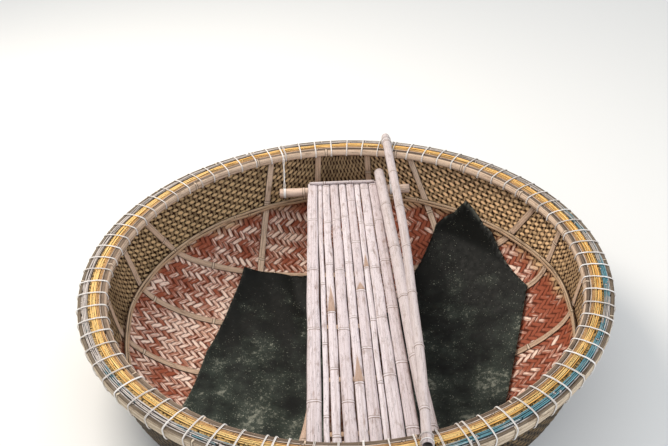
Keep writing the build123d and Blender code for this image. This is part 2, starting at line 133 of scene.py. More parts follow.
def lay_over(tree, under, over, value, low, high, most=1.0):
    """Lays one colour over another as a value goes from low to high, at most by this share."""
    limits = {"Value": value, "From Min": low, "From Max": high, "To Max": most}
    amount = add(tree, "MapRange", limits, interpolation_type="SMOOTHSTEP")
    return add(tree, "Mix", {0: amount, 6: under, 7: over}, 2, data_type="RGBA")


def finish_surface(tree, shader, colour, grain, dull, duller, relief_mm, shine=0.2):
    """Gives the shader its colour, its roughness from one value to another with the grain, the grain's
    relief in millimetres and the dull shine of a surface without polish."""
    limits = {"Value": grain, "From Min": 0.3, "From Max": 0.7, "To Min": dull, "To Max": duller}
    tree.links.new(add(tree, "MapRange", limits), shader.inputs["Roughness"])
    tree.links.new(colour, shader.inputs["Base Color"])
    bump = add(tree, "Bump", {"Height": grain, "Distance": relief_mm / 1000, "Strength": 1.0}, "Normal")
    tree.links.new(bump, shader.inputs["Normal"])
    shader.inputs["Specular IOR Level"].default_value = shine


FLOOR_TURNS, WALL_TURNS = 0.10, 0.16     # heights between which the painted floor gives way to the wall
BENCH_MIDDLE, BENCH_FAR = 0.03, 0.6


def woven_splits(name, painted_sunlit, painted_shaded, tar, paint, joints, worn, pale, wear, painted_bench_shade):
    """Split bamboo, woven and tarred. The tar stays along each split's edges and where it dives under the
    next one, and wears off its crown. The floor has red-brown paint, scuffed through underfoot."""
    material, tree, shader = new_material(name)
    along, across, edge, upright_shade, tone = marks(tree, "along", "across", "edge", "joint", "tone")
    place = add(tree, "TexCoord", {}, "Object")
    right, away, up = add(tree, "SeparateXYZ", {0: place}).node.outputs
    # Fibres 1.3 mm apart run along each split, and worn streaks 5 mm wide
    run = add(tree, "CombineXYZ", {0: along, 1: across, 2: tone})
    fibre = grains(tree, run, (29, 1.3, 11), 3.0)
    streak = grains(tree, run, (38, 5, 9), 1.0)
    # Patches 120 mm and 350 mm across, where feet, water and sun have changed the colour
    patch = grains(tree, place, (120, 120, 120), 3.0)
    area = grains(tree, place, (350, 350, 350), 1.0)
    from_edge = total(tree, (edge, 1), (fibre, 0.35), (streak, 0.5))
    # Painted light and shade: the wall is painted golden and bright at the right, where light falls on it,
    # and greyer and darker at the left
    wall = lay_over(tree, painted_shaded, painted_sunlit, total(tree, (right, 1), (area, 0.8)), 0.05, 0.85)
    wall = lay_over(tree, wall, tar, total(tree, (tone, 0.75), (patch, 0.9)), 0.85, 1.5, 0.7)
    # Painted shade: floats that run steeply up the wall are darkened towards the tar colour, as light from
    # above leaves them in shade
    wall = lay_over(tree, wall, tar, upright_shade, 0.45, 0.85, 0.55)
    wall = lay_over(tree, wall, tar, from_edge, 1.0, 1.45)
    # Paint stays by the hoop and at the right, and is scuffed off over most of the floor at the left
    out = add(tree, "VectorMath", {0: place}, "Value", operation="LENGTH")
    bare = total(tree, (tone, 0.5), (patch, 1.3), (fibre, 0.3), (streak, 0.5), (out, -0.55), (right, -0.12))
    scuffed = lay_over(tree, worn, pale, total(tree, (tone, 0.6), (streak, 1.3)), 0.78, 1.12)
    floor = lay_over(tree, paint, scuffed, bare, wear, wear + 0.35)
    floor = lay_over(tree, floor, joints, from_edge, 1.05, 1.45, 0.9)
    # Painted shade under the bench: the floor there is darkened towards the tar colour
    beside = add(tree, "Math", {0: total(tree, (right, 1), (1.0, -BENCH_MIDDLE))}, operation="ABSOLUTE")
    beyond = add(tree, "Math", {0: away, 1: BENCH_FAR}, operation="SUBTRACT")
    from_bench = add(tree, "Math", {0: beside, 1: beyond}, operation="MAXIMUM")
    floor = lay_over(tree, floor, tar, total(tree, (from_bench, 1), (patch, 0.08)), 0.22, 0.13, painted_bench_shade)
    height = total(tree, (up, 1), (patch, 0.10))
    colour = lay_over(tree, floor, wall, height, FLOOR_TURNS + 0.05, WALL_TURNS + 0.05)
    relief = total(tree, (fibre, 0.5), (streak, 0.8))
    finish_surface(tree, shader, colour, relief, 0.45, 0.65, 0.8)
    return material


def tarred_core(name, wall, floor, cut_ends):
    """Brown tar in the joints of the weave, matt and grainy, with red paint in it on the floor. The cut
    ends of the splits show bare along the top."""
    material, tree, shader = new_material(name)
    place = add(tree, "TexCoord", {}, "Object")
    up = add(tree, "SeparateXYZ", {0: place}, 2)
    grain = grains(tree, place, (6, 6, 6))
    colour = lay_over(tree, floor, wall, up, FLOOR_TURNS, WALL_TURNS)
    bare = lay_over(tree, cut_ends, wall, grain, 0.45, 0.65)
    colour = lay_over(tree, colour, bare, up, HULL_TOP - 0.003, HULL_TOP - 0.001)
    finish_surface(tree, shader, colour, grain, 0.6, 0.8, 0.6, 0.1)
    return material


MARKS = ("along", "across", "edge", "joint", "tone", "scar")


def mark_points(mesh, key, values):
    """Gives every point of a mesh its value of one mark, for the material to read."""
    mark = mesh.attributes.new(key, "FLOAT", "POINT")
    mark.data.foreach_set("value", values.astype(np.float32))


def place_piece(name, mesh, material, nodes):
    """Makes a smooth object of a mesh, rides it on the boat and lets it stand for the CAD nodes named."""
    mesh.polygons.foreach_set("use_smooth", [True] * len(mesh.polygons))
    mesh.materials.append(material)
    piece = bpy.data.objects.new(name, mesh)
    bpy.context.scene.collection.objects.link(piece)
    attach(piece, "root")
    if nodes:
        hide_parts(*nodes)
    return piece


def make_piece(name, parts, material, nodes=()):
    """Joins parts into the mesh of one piece."""
    starts = np.cumsum([0] + [len(part["points"]) for part in parts])
    faces = []
    for start, part in zip(starts, parts):
        faces += (part["quads"] + start).tolist()
        faces += [[i + int(start) for i in cap] for cap in part.get("caps", ())]
    mesh = bpy.data.meshes.new(name)
    mesh.from_pydata(np.concatenate([part["points"] for part in parts]).tolist(), [], faces)
    for key in MARKS:
        values = [np.broadcast_to(part.get(key, 0.0), len(part["points"])) for part in parts]
        mark_points(mesh, key, np.concatenate(values))
    return place_piece(name, mesh, material, nodes)


SPLIT_PITCH = 0.0225
FLOOR_SPLIT, WALL_SPLIT = 0.0205, 0.0188
PITCH_CHANGE = 0.0025      # by this much the splits round the wall lie closer, and those up it wider
WALL_STARTS, WALL_FULL = 0.70, 1.05      # distances from the middle where that begins and is complete
FLOOR_CROWN, WALL_CROWN = 0.0014, 0.0021
TWILL_REACH = 1.005        # the hoop hides where the twill gives way to the plain weave


def split_spacing(column, row):
    """Distances between neighbouring splits of the two families at a crossing, counted from the middle."""
    out = np.hypot(column, row)
    on_wall = np.clip((out * SPLIT_PITCH - WALL_STARTS) / (WALL_FULL - WALL_STARTS), 0, 1)
    change = PITCH_CHANGE * on_wall * (row**2 - column**2) / np.maximum(out, 1) ** 2
    return SPLIT_PITCH + change, SPLIT_PITCH - change


def hammered_net(count):
    """Where splits cross in one quarter of the bowl. A split keeps its length between two crossings, so
    the flat weave shears as it is hammered down. A crossing is its reach times the way it lies in."""
    column, row = np.meshgrid(np.arange(count + 1), np.arange(count + 1), indexing="ij")
    wide, tall = split_spacing(column, row)
    net = np.zeros((count + 1, count + 1, 2))
    net[1:, 0, 0] = np.cumsum(wide[1:, 0])
    net[0, 1:, 1] = np.cumsum(tall[0, 1:])

    def placed(crossing):
        return on_bowl(np.hypot(*crossing.T), np.arctan2(crossing[:, 1], crossing[:, 0]))

    for diagonal in range(2, 2 * count + 1):
        i = np.arange(max(1, diagonal - count), min(count, diagonal - 1) + 1)
        j = diagonal - i
        before, below = net[i - 1, j], net[i, j - 1]
        crossing = before + below - net[i - 1, j - 1]
        anchors = placed(before), placed(below)

        def stretch(trial):
            point = placed(trial)
            lengths = [np.linalg.norm(point - anchor, axis=1) for anchor in anchors]
            return np.stack([lengths[0] - wide[i, j], lengths[1] - tall[i, j]], axis=-1)

        # Eight steps of Newton's method find where both splits are as long as they should be
        for _ in range(8):
            off, nudge = stretch(crossing), 1e-5
            by_x = (stretch(crossing + (nudge, 0)) - off) / nudge
            by_y = (stretch(crossing + (0, nudge)) - off) / nudge
            area = by_x[:, 0] * by_y[:, 1] - by_y[:, 0] * by_x[:, 1]
            area = np.where(np.abs(area) < 0.001, 0.001, area)
            step = np.stack([by_y[:, 1] * off[:, 0] - by_y[:, 0] * off[:, 1],
                             by_x[:, 0] * off[:, 1] - by_x[:, 1] * off[:, 0]], axis=-1) / area[:, None]
            size = np.maximum(np.linalg.norm(step, axis=1, keepdims=True), 1e-9)
            crossing = crossing - step * np.minimum(1, 0.01 / size)
        net[i, j] = crossing
    return net


NET_COUNT = 64
NET = hammered_net(NET_COUNT)


def on_net(column, row):
    """Reach and angle on the bowl of a place in the weave, counted in splits from the middle."""
    x, y = np.minimum(np.abs(column), NET_COUNT - 0.01), np.minimum(np.abs(row), NET_COUNT - 0.01)
    i, j = x.astype(int), y.astype(int)
    x, y = (x - i)[..., None], (y - j)[..., None]
    before = NET[i, j] * (1 - x) + NET[i + 1, j] * x
    after = NET[i, j + 1] * (1 - x) + NET[i + 1, j + 1] * x
    place = before * (1 - y) + after * y
    place = place * np.stack([np.sign(column), np.sign(row)], axis=-1)
    return np.hypot(place[..., 0], place[..., 1]), np.arctan2(place[..., 1], place[..., 0]) + math.pi / 4


UNEVEN_LAY = 0.045         # by about this share of the pitch a split lies beside its place


def floats_of(draw, over):
    """Start, middle, length, tone and family of every float of a weave that goes over this many splits."""
    repeat = 2 * over
    strips = np.arange(-NET_COUNT, NET_COUNT)
    strip_tone = draw.random((2, len(strips)))
    strip_shift = draw.normal(0, UNEVEN_LAY, (2, len(strips)))
    found = []
    for family in (0, 1):
        strip, run = np.meshgrid(strips, np.arange(-NET_COUNT, NET_COUNT, repeat), indexing="ij")
        start = run - np.mod(strip - family * over, repeat)
        # Each split has a tone of its own, and its floats differ a little from it
        tone = 0.45 * strip_tone[family][strip + NET_COUNT] + 0.55 * draw.random(strip.shape)
        middle = strip + 0.5 + strip_shift[family][strip + NET_COUNT]
        rows = [start, middle, np.full(strip.shape, over), tone, np.full(strip.shape, family)]
        found.append(np.stack(rows, axis=-1).reshape(-1, 5))
    return np.concatenate(found)


def crossings_under(rows):
    """Whole-number places of the crossings that floats start from, and the step along each float."""
    first = rows[:, 4] == 0
    start, strip = rows[:, 0].astype(int), np.floor(rows[:, 1]).astype(int)
    place = np.stack([np.where(first, start, strip), np.where(first, strip, start)], axis=-1)
    return place + 2 * NET_COUNT, np.stack([first, ~first], axis=-1).astype(int)


def twill_and_plain(draw):
    """Twill floats on the floor, and plain ones at every crossing that the twill leaves open."""
    twill, plain = floats_of(draw, 2), floats_of(draw, 1)
    place, step = crossings_under(twill)
    reach = on_net(*(place + step - 2 * NET_COUNT).T)[0]
    twill, place, step = (rows[reach < TWILL_REACH] for rows in (twill, place, step))
    covered = np.zeros((4 * NET_COUNT, 4 * NET_COUNT), bool)
    for cell in (place, place + step):
        covered[tuple(cell.T)] = True
    place, step = crossings_under(plain)
    return np.concatenate([twill, plain[~covered[tuple(place.T)]]])


# A float has five stations: where it dives at each end, its two shoulders and its crown
DIVE_REACH, SHOULDER_REACH = 0.34, 0.18      # beyond and inside the float's ends, in splits
STATION_RISE = np.array([0.0, 0.85, 1.0, 0.85, 0.0])
STATION_TAR = np.array([1.1, 0.5, 0.0, 0.5, 1.1])
UNEVEN_WIDTH, UNEVEN_CROWN = 0.075, 0.14


def weave(seed, side, reach_limit):
    """Every float of the bowl: the stretch of a split that shows between two splits that cross it."""
    draw = np.random.default_rng(seed)
    start, middle, length, tone, family = twill_and_plain(draw).T
    count = len(start)
    ends = [0 * start - DIVE_REACH, 0 * start + SHOULDER_REACH, length / 2,
            length - SHOULDER_REACH, length + DIVE_REACH]
    run = start[:, None] + np.stack(ends, axis=-1)
    first = family == 0
    wide, tall = split_spacing(np.where(first, run[:, 2], middle), np.where(first, middle, run[:, 2]))
    broad = np.where(length > 1, FLOOR_SPLIT, WALL_SPLIT) * draw.normal(1, UNEVEN_WIDTH, count)
    width = broad / np.where(first, tall, wide)
    across = np.array([-1.0, 0.0, 1.0])
    u = np.broadcast_to(run[:, :, None], (count, 5, 3))
    v = middle[:, None, None] + width[:, None, None] / 2 * across + 0 * u
    swap = family[:, None, None] == 1
    reach, angle = on_net(np.where(swap, v, u), np.where(swap, u, v))
    arch = STATION_RISE[:, None] * (1.15 - 0.75 * across**2) - 0.08
    crown = np.where(length > 1, FLOOR_CROWN, WALL_CROWN) * draw.normal(1, UNEVEN_CROWN, count)
    rise = crown[:, None, None] * arch + 0.0003
    keep = reach.max(axis=(1, 2)) < reach_limit
    lift = rise if side > 0 else -HULL_THICKNESS - rise
    points = on_bowl(reach, angle, lift)[keep]
    # How steeply each float runs, carried in the joint mark, which the material turns into painted shade
    ahead = points[:, 4, 1] - points[:, 0, 1]
    upright_shade = np.abs(ahead[:, 2]) / np.linalg.norm(ahead, axis=1)
    # Five stations of three points make eight faces
    corner = np.arange(len(points))[:, None, None] * 15
    row, column = np.meshgrid(np.arange(4), np.arange(2), indexing="ij")
    base = (corner + row * 3 + column).reshape(-1)
    turned = (swap[keep][:, 0, 0] != (side < 0)).repeat(8)
    quads = np.stack([base, base + 3, base + 4, base + 1], axis=-1)
    quads = np.where(turned[:, None], quads, quads[:, ::-1])
    spread = np.ones((len(points), 5, 3))
    return {
        "points": points.reshape(-1, 3),
        "quads": quads,
        "along": (run[keep][:, :, None] * SPLIT_PITCH * spread).reshape(-1),
        "across": (across * WALL_SPLIT / 2 * spread).reshape(-1),
        "edge": np.maximum(np.abs(across), STATION_TAR[:, None] * spread).reshape(-1),
        "joint": (upright_shade[:, None, None] * spread).reshape(-1),
        "tone": np.repeat(tone[keep], 15),
    }


# Inside, the wall is golden with dark brown joints and the floor is a worn brick red
weave_inside = woven_splits(
    "tarred_bamboo_weave_inside", painted_sunlit="#ffd5a2", painted_shaded="#dab98a", tar="#2b1203",
    paint="#9e533a", joints="#5b2918", worn="#c7937a", pale="#ffe3d1", wear=0.73, painted_bench_shade=0.92
)
# Outside, the whole bowl is nearly black, because the tar is thick and never trodden on
weave_outside = woven_splits(
    "tarred_bamboo_weave_outside", painted_sunlit="#6f5a3c", painted_shaded="#5c4a32", tar="#120c07",
    paint="#2c2318", joints="#120c07", worn="#3a2f20", pale="#463a28", wear=0.9, painted_bench_shade=0.0
)
core = tarred_core("tar_and_paint", wall="#150b05", floor="#5b2918", cut_ends="#b3935f")
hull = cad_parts["hull_basket"]
for slot in hull.material_slots:
    slot.material = core
UNDER_INNER_BAND, UNDER_OUTER_BAND = BOWL_REACH - 0.020, BOWL_REACH - 0.042
inside = weave(seed=11, side=1, reach_limit=UNDER_INNER_BAND)
outside = weave(seed=12, side=-1, reach_limit=UNDER_OUTER_BAND)
make_piece("hull_weave_inside", [inside], weave_inside)
make_piece("hull_weave_outside", [outside], weave_outside)


# Rim. Long thin splits of bamboo stand on edge on both sides of the woven edge, sun-bleached grey with
# some old teal paint outside, yellow inside. Each is pieced together from lengths that stand at
# slightly different heights. A half-round band closes each side, the inner one lower than the outer.
WALL_LEAN = math.pi / 2 - WALL_SLOPE
FOOT_HEIGHT = RIM_TOP - WALL_DEPTH
STRIP_GAP = 0.0007
SPLIT_FILL = 0.8           # a split fills this share of its place, and the rest is a dark line
LENGTHS_IN_SPLIT = 3
LENGTH_GAP = 0.004         # radians between two lengths, at most
STANDS_LOWER = 0.0018      # by about this much a length stands below its place
END_DROOP, END_DROOP_REACH = 0.004, 0.012
SPLIT_STEP, BAND_STEP = 0.013, 0.016
SPLIT_JOINTS, BAND_JOINTS = 0.310, 0.335
BAND_RIDGE, BAND_GROOVE = 0.0014, 0.0007
BAND_CROWN = 0.005
# Node, slot, material, thickness, drop of its top below the rim's top, height, splits side by side
OUTSIDE_STRIPS = (
    ("rim_splint_4", "splint_grey", "worn_teal", 0.007, 0.0, 0.042, 2),
    ("rim_splint_3", "splint_blue", "worn_teal", 0.005, 0.004, 0.042, 1),
    ("rim_splint_2", "splint_grey", "worn_teal", 0.005, 0.002, 0.042, 1),
    ("rim_splint_1", "splint_grey", "grey", 0.005, 0.007, 0.042, 1),
    ("rim_outer_band", "band_bamboo", "outer_band", 0.016, 0.009, 0.055, 1),
)
INSIDE_STRIPS = (
    ("rim_splint_5", "splint_yellow", "yellow", 0.010, 0.0, 0.026, 3),
    ("rim_splint_6", "splint_yellow", "yellow", 0.010, 0.0005, 0.026, 3),
    ("rim_splint_7", "splint_tan", "tan", 0.010, 0.0025, 0.026, 3),
    ("rim_splint_8", "splint_grey", "brown", 0.004, 0.003, 0.026, 1),
    ("rim_inner_band", "band_bamboo_inner", "inner_band", 0.017, 0.006, 0.030, 1),
)
OUTSIDE_WIDTH = sum(row[3] + STRIP_GAP for row in OUTSIDE_STRIPS)
INSIDE_WIDTH = sum(row[3] + STRIP_GAP for row in INSIDE_STRIPS)


def wall_radius(height, inset=0.0):
    """Radius at a height of the leaning wall's inner face, or of a face set in from it."""
    return FOOT_RADIUS + (height - FOOT_HEIGHT) * math.tan(WALL_LEAN) - inset / math.cos(WALL_LEAN)


UPWARD = np.array([0, 0, 1.0])


def outward(angles):
    """Level directions away from the boat's middle."""
    return np.stack([np.cos(angles), np.sin(angles), 0 * angles], axis=-1)


def along_wall(angles, height, inset, facing=1):
    """Places round the leaning wall, with the directions off its face and up along it."""
    out = outward(angles)
    centres = wall_radius(height, inset)[:, None] * out + height[:, None] * UPWARD
    return centres, facing * -out / math.cos(WALL_LEAN), math.tan(WALL_LEAN) * out + UPWARD


def wander(draw, where, size, waves):
    """A smooth random run of about this size, made of a few sine waves."""
    run = 0 * where
    for wave in waves:
        run = run + draw.normal() * np.sin(wave * where + draw.uniform(0, 2 * math.pi))
    return size * run / math.sqrt(len(waves) / 2)


def strip(centres, sides, ups, outline, along, joint, tone, edge=None):
    """A closed strip or tube swept along a run of places, with its outline given to the side and up."""
    stations, corners = len(centres), outline.shape[-2]
    outline = np.broadcast_to(outline, (stations, corners, 2))
    points = centres[:, None] + outline[..., 0:1] * sides[:, None] + outline[..., 1:2] * ups[:, None]
    middle = stations // 2
    ahead = centres[middle] - centres[middle - 1]
    row, column = np.meshgrid(np.arange(stations - 1), np.arange(corners), indexing="ij")
    after = (column + 1) % corners
    quads = np.stack([row * corners + column, row * corners + after,
                      (row + 1) * corners + after, (row + 1) * corners + column], axis=-1).reshape(-1, 4)
    last_start = (stations - 1) * corners
    first_cap, last_cap = list(range(corners))[::-1], list(range(last_start, last_start + corners))
    if np.dot(np.cross(sides[middle], ups[middle]), ahead) < 0:
        quads, first_cap, last_cap = quads[:, ::-1], first_cap[::-1], last_cap[::-1]
    pieces = np.diff(outline, axis=1, prepend=outline[:, :1])
    around = np.cumsum(np.hypot(pieces[..., 0], pieces[..., 1]), axis=1)
    if edge is None:
        reach = np.abs(outline[..., 0]).max(axis=1, keepdims=True)
        edge = np.abs(outline[..., 0]) / np.maximum(reach, 1e-6)
    spread = np.ones((stations, corners))
    return {
        "points": points.reshape(-1, 3),
        "quads": quads,
        "caps": [first_cap, last_cap],
        "along": (np.asarray(along)[:, None] * spread).reshape(-1),
        "across": (around * spread).reshape(-1),
        "edge": (np.asarray(edge) * spread).reshape(-1),
        "joint": (np.broadcast_to(joint, stations)[:, None] * spread).reshape(-1),
        "tone": tone,
    }


def near_joint(along, first, pitch):
    """Distance along a culm to the nearest joint."""
    return np.mod(along - first + pitch / 2, pitch) - pitch / 2


RIDGE_REACH = 0.0036
GROOVE_REACH, GROOVE_BEFORE = 0.0018, 0.0062


def joint_rise(distance, ridge, groove):
    """A bamboo joint: a rounded ridge, with a narrow groove beside it where the leaf sheath sat."""
    rise = ridge * np.exp(-((distance / RIDGE_REACH) ** 2))
    return rise - groove * np.exp(-(((distance + GROOVE_BEFORE) / GROOVE_REACH) ** 2))


AT_JOINT = np.array([-0.010, -0.008, -0.006, -0.004, -0.002, 0, 0.002, 0.004, 0.007])
CLEAR_OF_JOINT, CLEAR_OF_END = 0.011, 0.003


def with_joint_stations(stations, first, pitch):
    """Stations along a culm, with closer ones at its joints."""
    joints = np.arange(first, stations[-1], pitch)
    close = (joints[:, None] + AT_JOINT).reshape(-1)
    close = close[(close > stations[0] + CLEAR_OF_END) & (close < stations[-1] - CLEAR_OF_END)]
    kept = np.ones(len(stations), bool)
    for joint in joints:
        kept &= np.abs(stations - joint) > CLEAR_OF_JOINT
    kept[[0, -1]] = True
    return np.sort(np.concatenate([stations[kept], close]))


def round_face(face, tall):
    """A strip's outline: a face that stands out along its height, and a flat back."""
    bow = np.linspace(-1, 1, len(face))
    return np.concatenate([np.stack([face, bow * tall], axis=-1), [(0.0, tall), (0.0, -tall)]])


def darker_edge(bow, power):
    """How near each point of an outline with two back points is to the strip's edge, where the material
    paints shade.
    """
    return np.append(np.abs(bow) ** power, [1, 1])[None, :]


def rim_lengths(draw, count, gap):
    """Angles from and to for the lengths that one split is pieced together from."""
    cuts = np.sort(draw.uniform(0, 2 * math.pi, count))
    ends = np.append(cuts[1:], cuts[0] + 2 * math.pi)
    return [(start + draw.uniform(0.2, 1) * gap, end) for start, end in zip(cuts, ends)]


def rim_split(draw, start, end, inset, thickness, top, height):
    """One length of split standing on edge, a little wavy, its ends cut on a slant."""
    radius = wall_radius(top)
    stations = np.arange(start, end, SPLIT_STEP / radius)
    from_end = np.minimum(stations - start, end - stations) * radius
    top = top + wander(draw, stations, 0.0009, (5, 9, 14, 23, 37)) - abs(draw.normal(0, STANDS_LOWER))
    top = top - END_DROOP * np.exp(-((from_end / END_DROOP_REACH) ** 2))
    inset = inset + wander(draw, stations, 0.0004, (7, 13, 29))
    centres, sides, ups = along_wall(stations, top - height / 2, inset)
    half, tall, round_off = thickness / 2, height / 2, min(thickness / 3, 0.0012)
    outline = np.array([(-half, -tall), (half, -tall), (half, tall - round_off), (half - round_off, tall),
                        (-half + round_off, tall), (-half, tall - round_off)])
    along = (stations - start) * wall_radius(RIM_TOP)
    joint = near_joint(along, draw.uniform(0.05, 0.3), SPLIT_JOINTS)
    return strip(centres, sides, ups, outline, along, joint, draw.random())


def rim_band(draw, inset, thickness, drop, height, facing):
    """A half-round band: one culm split in half, bent round the rim, with its joints left on."""
    radius = wall_radius(RIM_TOP, inset)
    start = draw.uniform(0, 2 * math.pi)
    length = 2 * math.pi * radius - 0.004
    first = draw.uniform(0.05, 0.2)
    along = with_joint_stations(np.arange(0, length, BAND_STEP), first, BAND_JOINTS)
    angles = start + along / radius
    joint = near_joint(along, first, BAND_JOINTS)
    swell = joint_rise(joint, BAND_RIDGE, BAND_GROOVE) + wander(draw, angles, 0.0005, (6, 11, 17))
    middle = RIM_TOP - drop - height / 2 + wander(draw, angles, 0.0008, (3, 5, 8))
    centres, sides, ups = along_wall(angles, middle, inset, facing)
    bow = np.linspace(-1, 1, 11)
    face = (thickness - BAND_CROWN) + BAND_CROWN * (1 - np.abs(bow) ** 2.4)
    outline = round_face(face, height / 2)
    # A joint swells the face most, the edges by a third as much, and leaves the back as it is
    stretch = np.concatenate([np.ones(11), [0, 0]])[None, :, None] * np.array([1.0, 0.35])
    outline = outline[None] + swell[:, None, None] * stretch * np.sign(outline + 1e-9)[None]
    return strip(centres, sides, ups, outline, along, joint, draw.random(), darker_edge(bow, 3))


def split_bamboo(name, pale, middle, dark, stain=0.5, crack=0.5, joint_colour="#4a3a2a", dull=0.6,
                 rim="#33261b", stripe=0.0, paint=None):
    """Weathered bamboo with its skin gone: fine fibres along it, water stains, drying cracks, and a
    dark line with a pale ridge at each joint. Some has paint left on it, most of it at the near right."""
    material, tree, shader = new_material(name)
    along, across, edge, joint, tone, scar = marks(tree, "along", "across", "edge", "joint", "tone", "scar")
    run = add(tree, "CombineXYZ", {0: along, 1: across, 2: tone})
    # Fibres 0.8 mm apart and 50 mm long, water stains 60 mm by 17 mm, drying cracks 3 mm apart, and
    # stripes 6 mm wide where the culm weathered along its fibres
    fibre = grains(tree, run, (50, 0.8, 17), 3.0, 0.6)
    blotch = grains(tree, run, (60, 17, 30), 4.0, 0.6)
    streak = grains(tree, run, (700, 6, 12), 1.0)
    cracks = grains(tree, run, (110, 3, 12), 1.0)
    seam = add(tree, "Math", {0: cracks, 1: 0.5, 2: 0.008}, operation="COMPARE")
    from_joint = add(tree, "Math", {0: joint}, operation="ABSOLUTE")
    colour = add(tree, "Mix", {0: tone, 6: pale, 7: middle}, 2, data_type="RGBA")
    colour = lay_over(tree, colour, dark, blotch, 0.52, 0.72, stain)
    colour = lay_over(tree, colour, dark, streak, 0.5, 0.62, stripe)
    if paint:
        right, away, up = add(tree, "SeparateXYZ", {0: add(tree, "TexCoord", {}, "Object")}).node.outputs
        # Paint is left in stretches about 0.3 m long
        stretch = grains(tree, add(tree, "CombineXYZ", {0: right, 1: away}), (300, 300, 300), 1.0)
        left_on = total(tree, (stretch, 1), (blotch, 0.9), (fibre, 0.5), (right, 0.12), (away, -0.18))
        colour = lay_over(tree, colour, paint, left_on, 1.25, 1.45, 0.9)
    # Brown scars run on from the joints where branches were cut off
    colour = lay_over(tree, colour, "#a5866f", total(tree, (scar, 1), (fibre, 0.5)), 0.35, 0.75, 0.85)
    colour = lay_over(tree, colour, dark, fibre, 0.5, 0.75, 0.4)
    colour = lay_over(tree, colour, "#f6f0e8", fibre, 0.45, 0.25, 0.35)
    colour = lay_over(tree, colour, "#2b2119", seam, 0, 1, crack)
    # Painted shade: a strip's sides and back, whose points carry an edge near 1, are darkened with the rim
    # colour
    colour = lay_over(tree, colour, rim, edge, 0.86, 1.0, 0.75)
    uneven = total(tree, (from_joint, 1), (blotch, 0.008))
    colour = lay_over(tree, colour, joint_colour, uneven, 0.0122, 0.0092, 0.75)
    colour = lay_over(tree, colour, pale, uneven, 0.0080, 0.0060, 0.8)
    # Painted shade: the bore of a sawn culm, whose points carry an edge of 2, is painted nearly black
    colour = lay_over(tree, colour, "#0d0906", edge, 1.2, 1.8)
    finish_surface(tree, shader, colour, total(tree, (fibre, 1), (seam, -1)), dull, dull + 0.15, 0.35)
    return material


# Bamboo bleaches to a pale grey with dark fibres where rain and sun reach it, and keeps its yellow and
# tan on the inner side. Name, pale, middle and dark colours, then stains, cracks, stripes and paint
RIM_FINISHES = {
    "grey": ("bleached_grey_split", "#ddd4d0", "#b0a69f", "#4e443a", 0.6, 0.6, 0.0, None),
    "worn_teal": ("grey_split_with_teal_paint", "#d8cfca", "#a89c90", "#564a3e", 0.6, 0.5, 0.0, "#4c909f"),
    "yellow": ("yellow_split", "#ffe09a", "#f7ab3a", "#98591a", 0.5, 0.6, 0.0, None),
    "tan": ("orange_tan_split", "#dfb27c", "#bd8950", "#54321c", 0.6, 0.6, 0.4, None),
    "brown": ("grey_brown_split", "#d2bfb0", "#a38c7a", "#43301f", 0.6, 0.5, 0.0, None),
    "outer_band": ("outer_half_round_bamboo", "#d8cab4", "#bfa586", "#6d5236", 0.8, 0.6, 0.5, None),
    "inner_band": ("inner_half_round_bamboo", "#e4cdb6", "#c8aa8e", "#735540", 0.6, 0.6, 0.65, None),
}
RIM_BAMBOO = {}
for key, (name, pale, middle, dark, stain, crack, stripe, paint) in RIM_FINISHES.items():
    RIM_BAMBOO[key] = split_bamboo(name, pale, middle, dark, stain, crack, stripe=stripe, paint=paint)
draw = np.random.default_rng(21)
for rows, facing in ((OUTSIDE_STRIPS, -1), (INSIDE_STRIPS, 1)):
    inset = HULL_THICKNESS if facing < 0 else 0.0
    for node, slot, material, thickness, drop, height, splits in rows:
        inset += STRIP_GAP
        if "band" in node:
            parts = [rim_band(draw, facing * inset, thickness, drop, height, facing)]
        else:
            parts = []
            thin = thickness / splits * SPLIT_FILL
            for number in range(splits):
                middle = facing * (inset + thickness * (number + 0.5) / splits)
                for start, end in rim_lengths(draw, LENGTHS_IN_SPLIT, LENGTH_GAP):
                    parts.append(rim_split(draw, start, end, middle, thin, RIM_TOP - drop, height))
        make_piece(node + "_splits", parts, RIM_BAMBOO[material], [node])
        inset += thickness


# Rim binding. White plastic cord, wound in doubled turns over both bands and the splits and passed
# through the weave below each band. The two strands of a turn lie side by side, a little askew.
LASHING_COUNT = 78
LASHING_PHASE = math.radians(3.9)
CORD_RADIUS = 0.0014
STRANDS_APART = 0.0031
OUTER_DROP, OUTER_HEIGHT = OUTSIDE_STRIPS[-1][4:6]
INNER_DROP, INNER_HEIGHT = INSIDE_STRIPS[-1][4:6]
OUTER_BAND_LOW = RIM_TOP - OUTER_DROP - OUTER_HEIGHT
INNER_BAND_LOW = RIM_TOP - INNER_DROP - INNER_HEIGHT


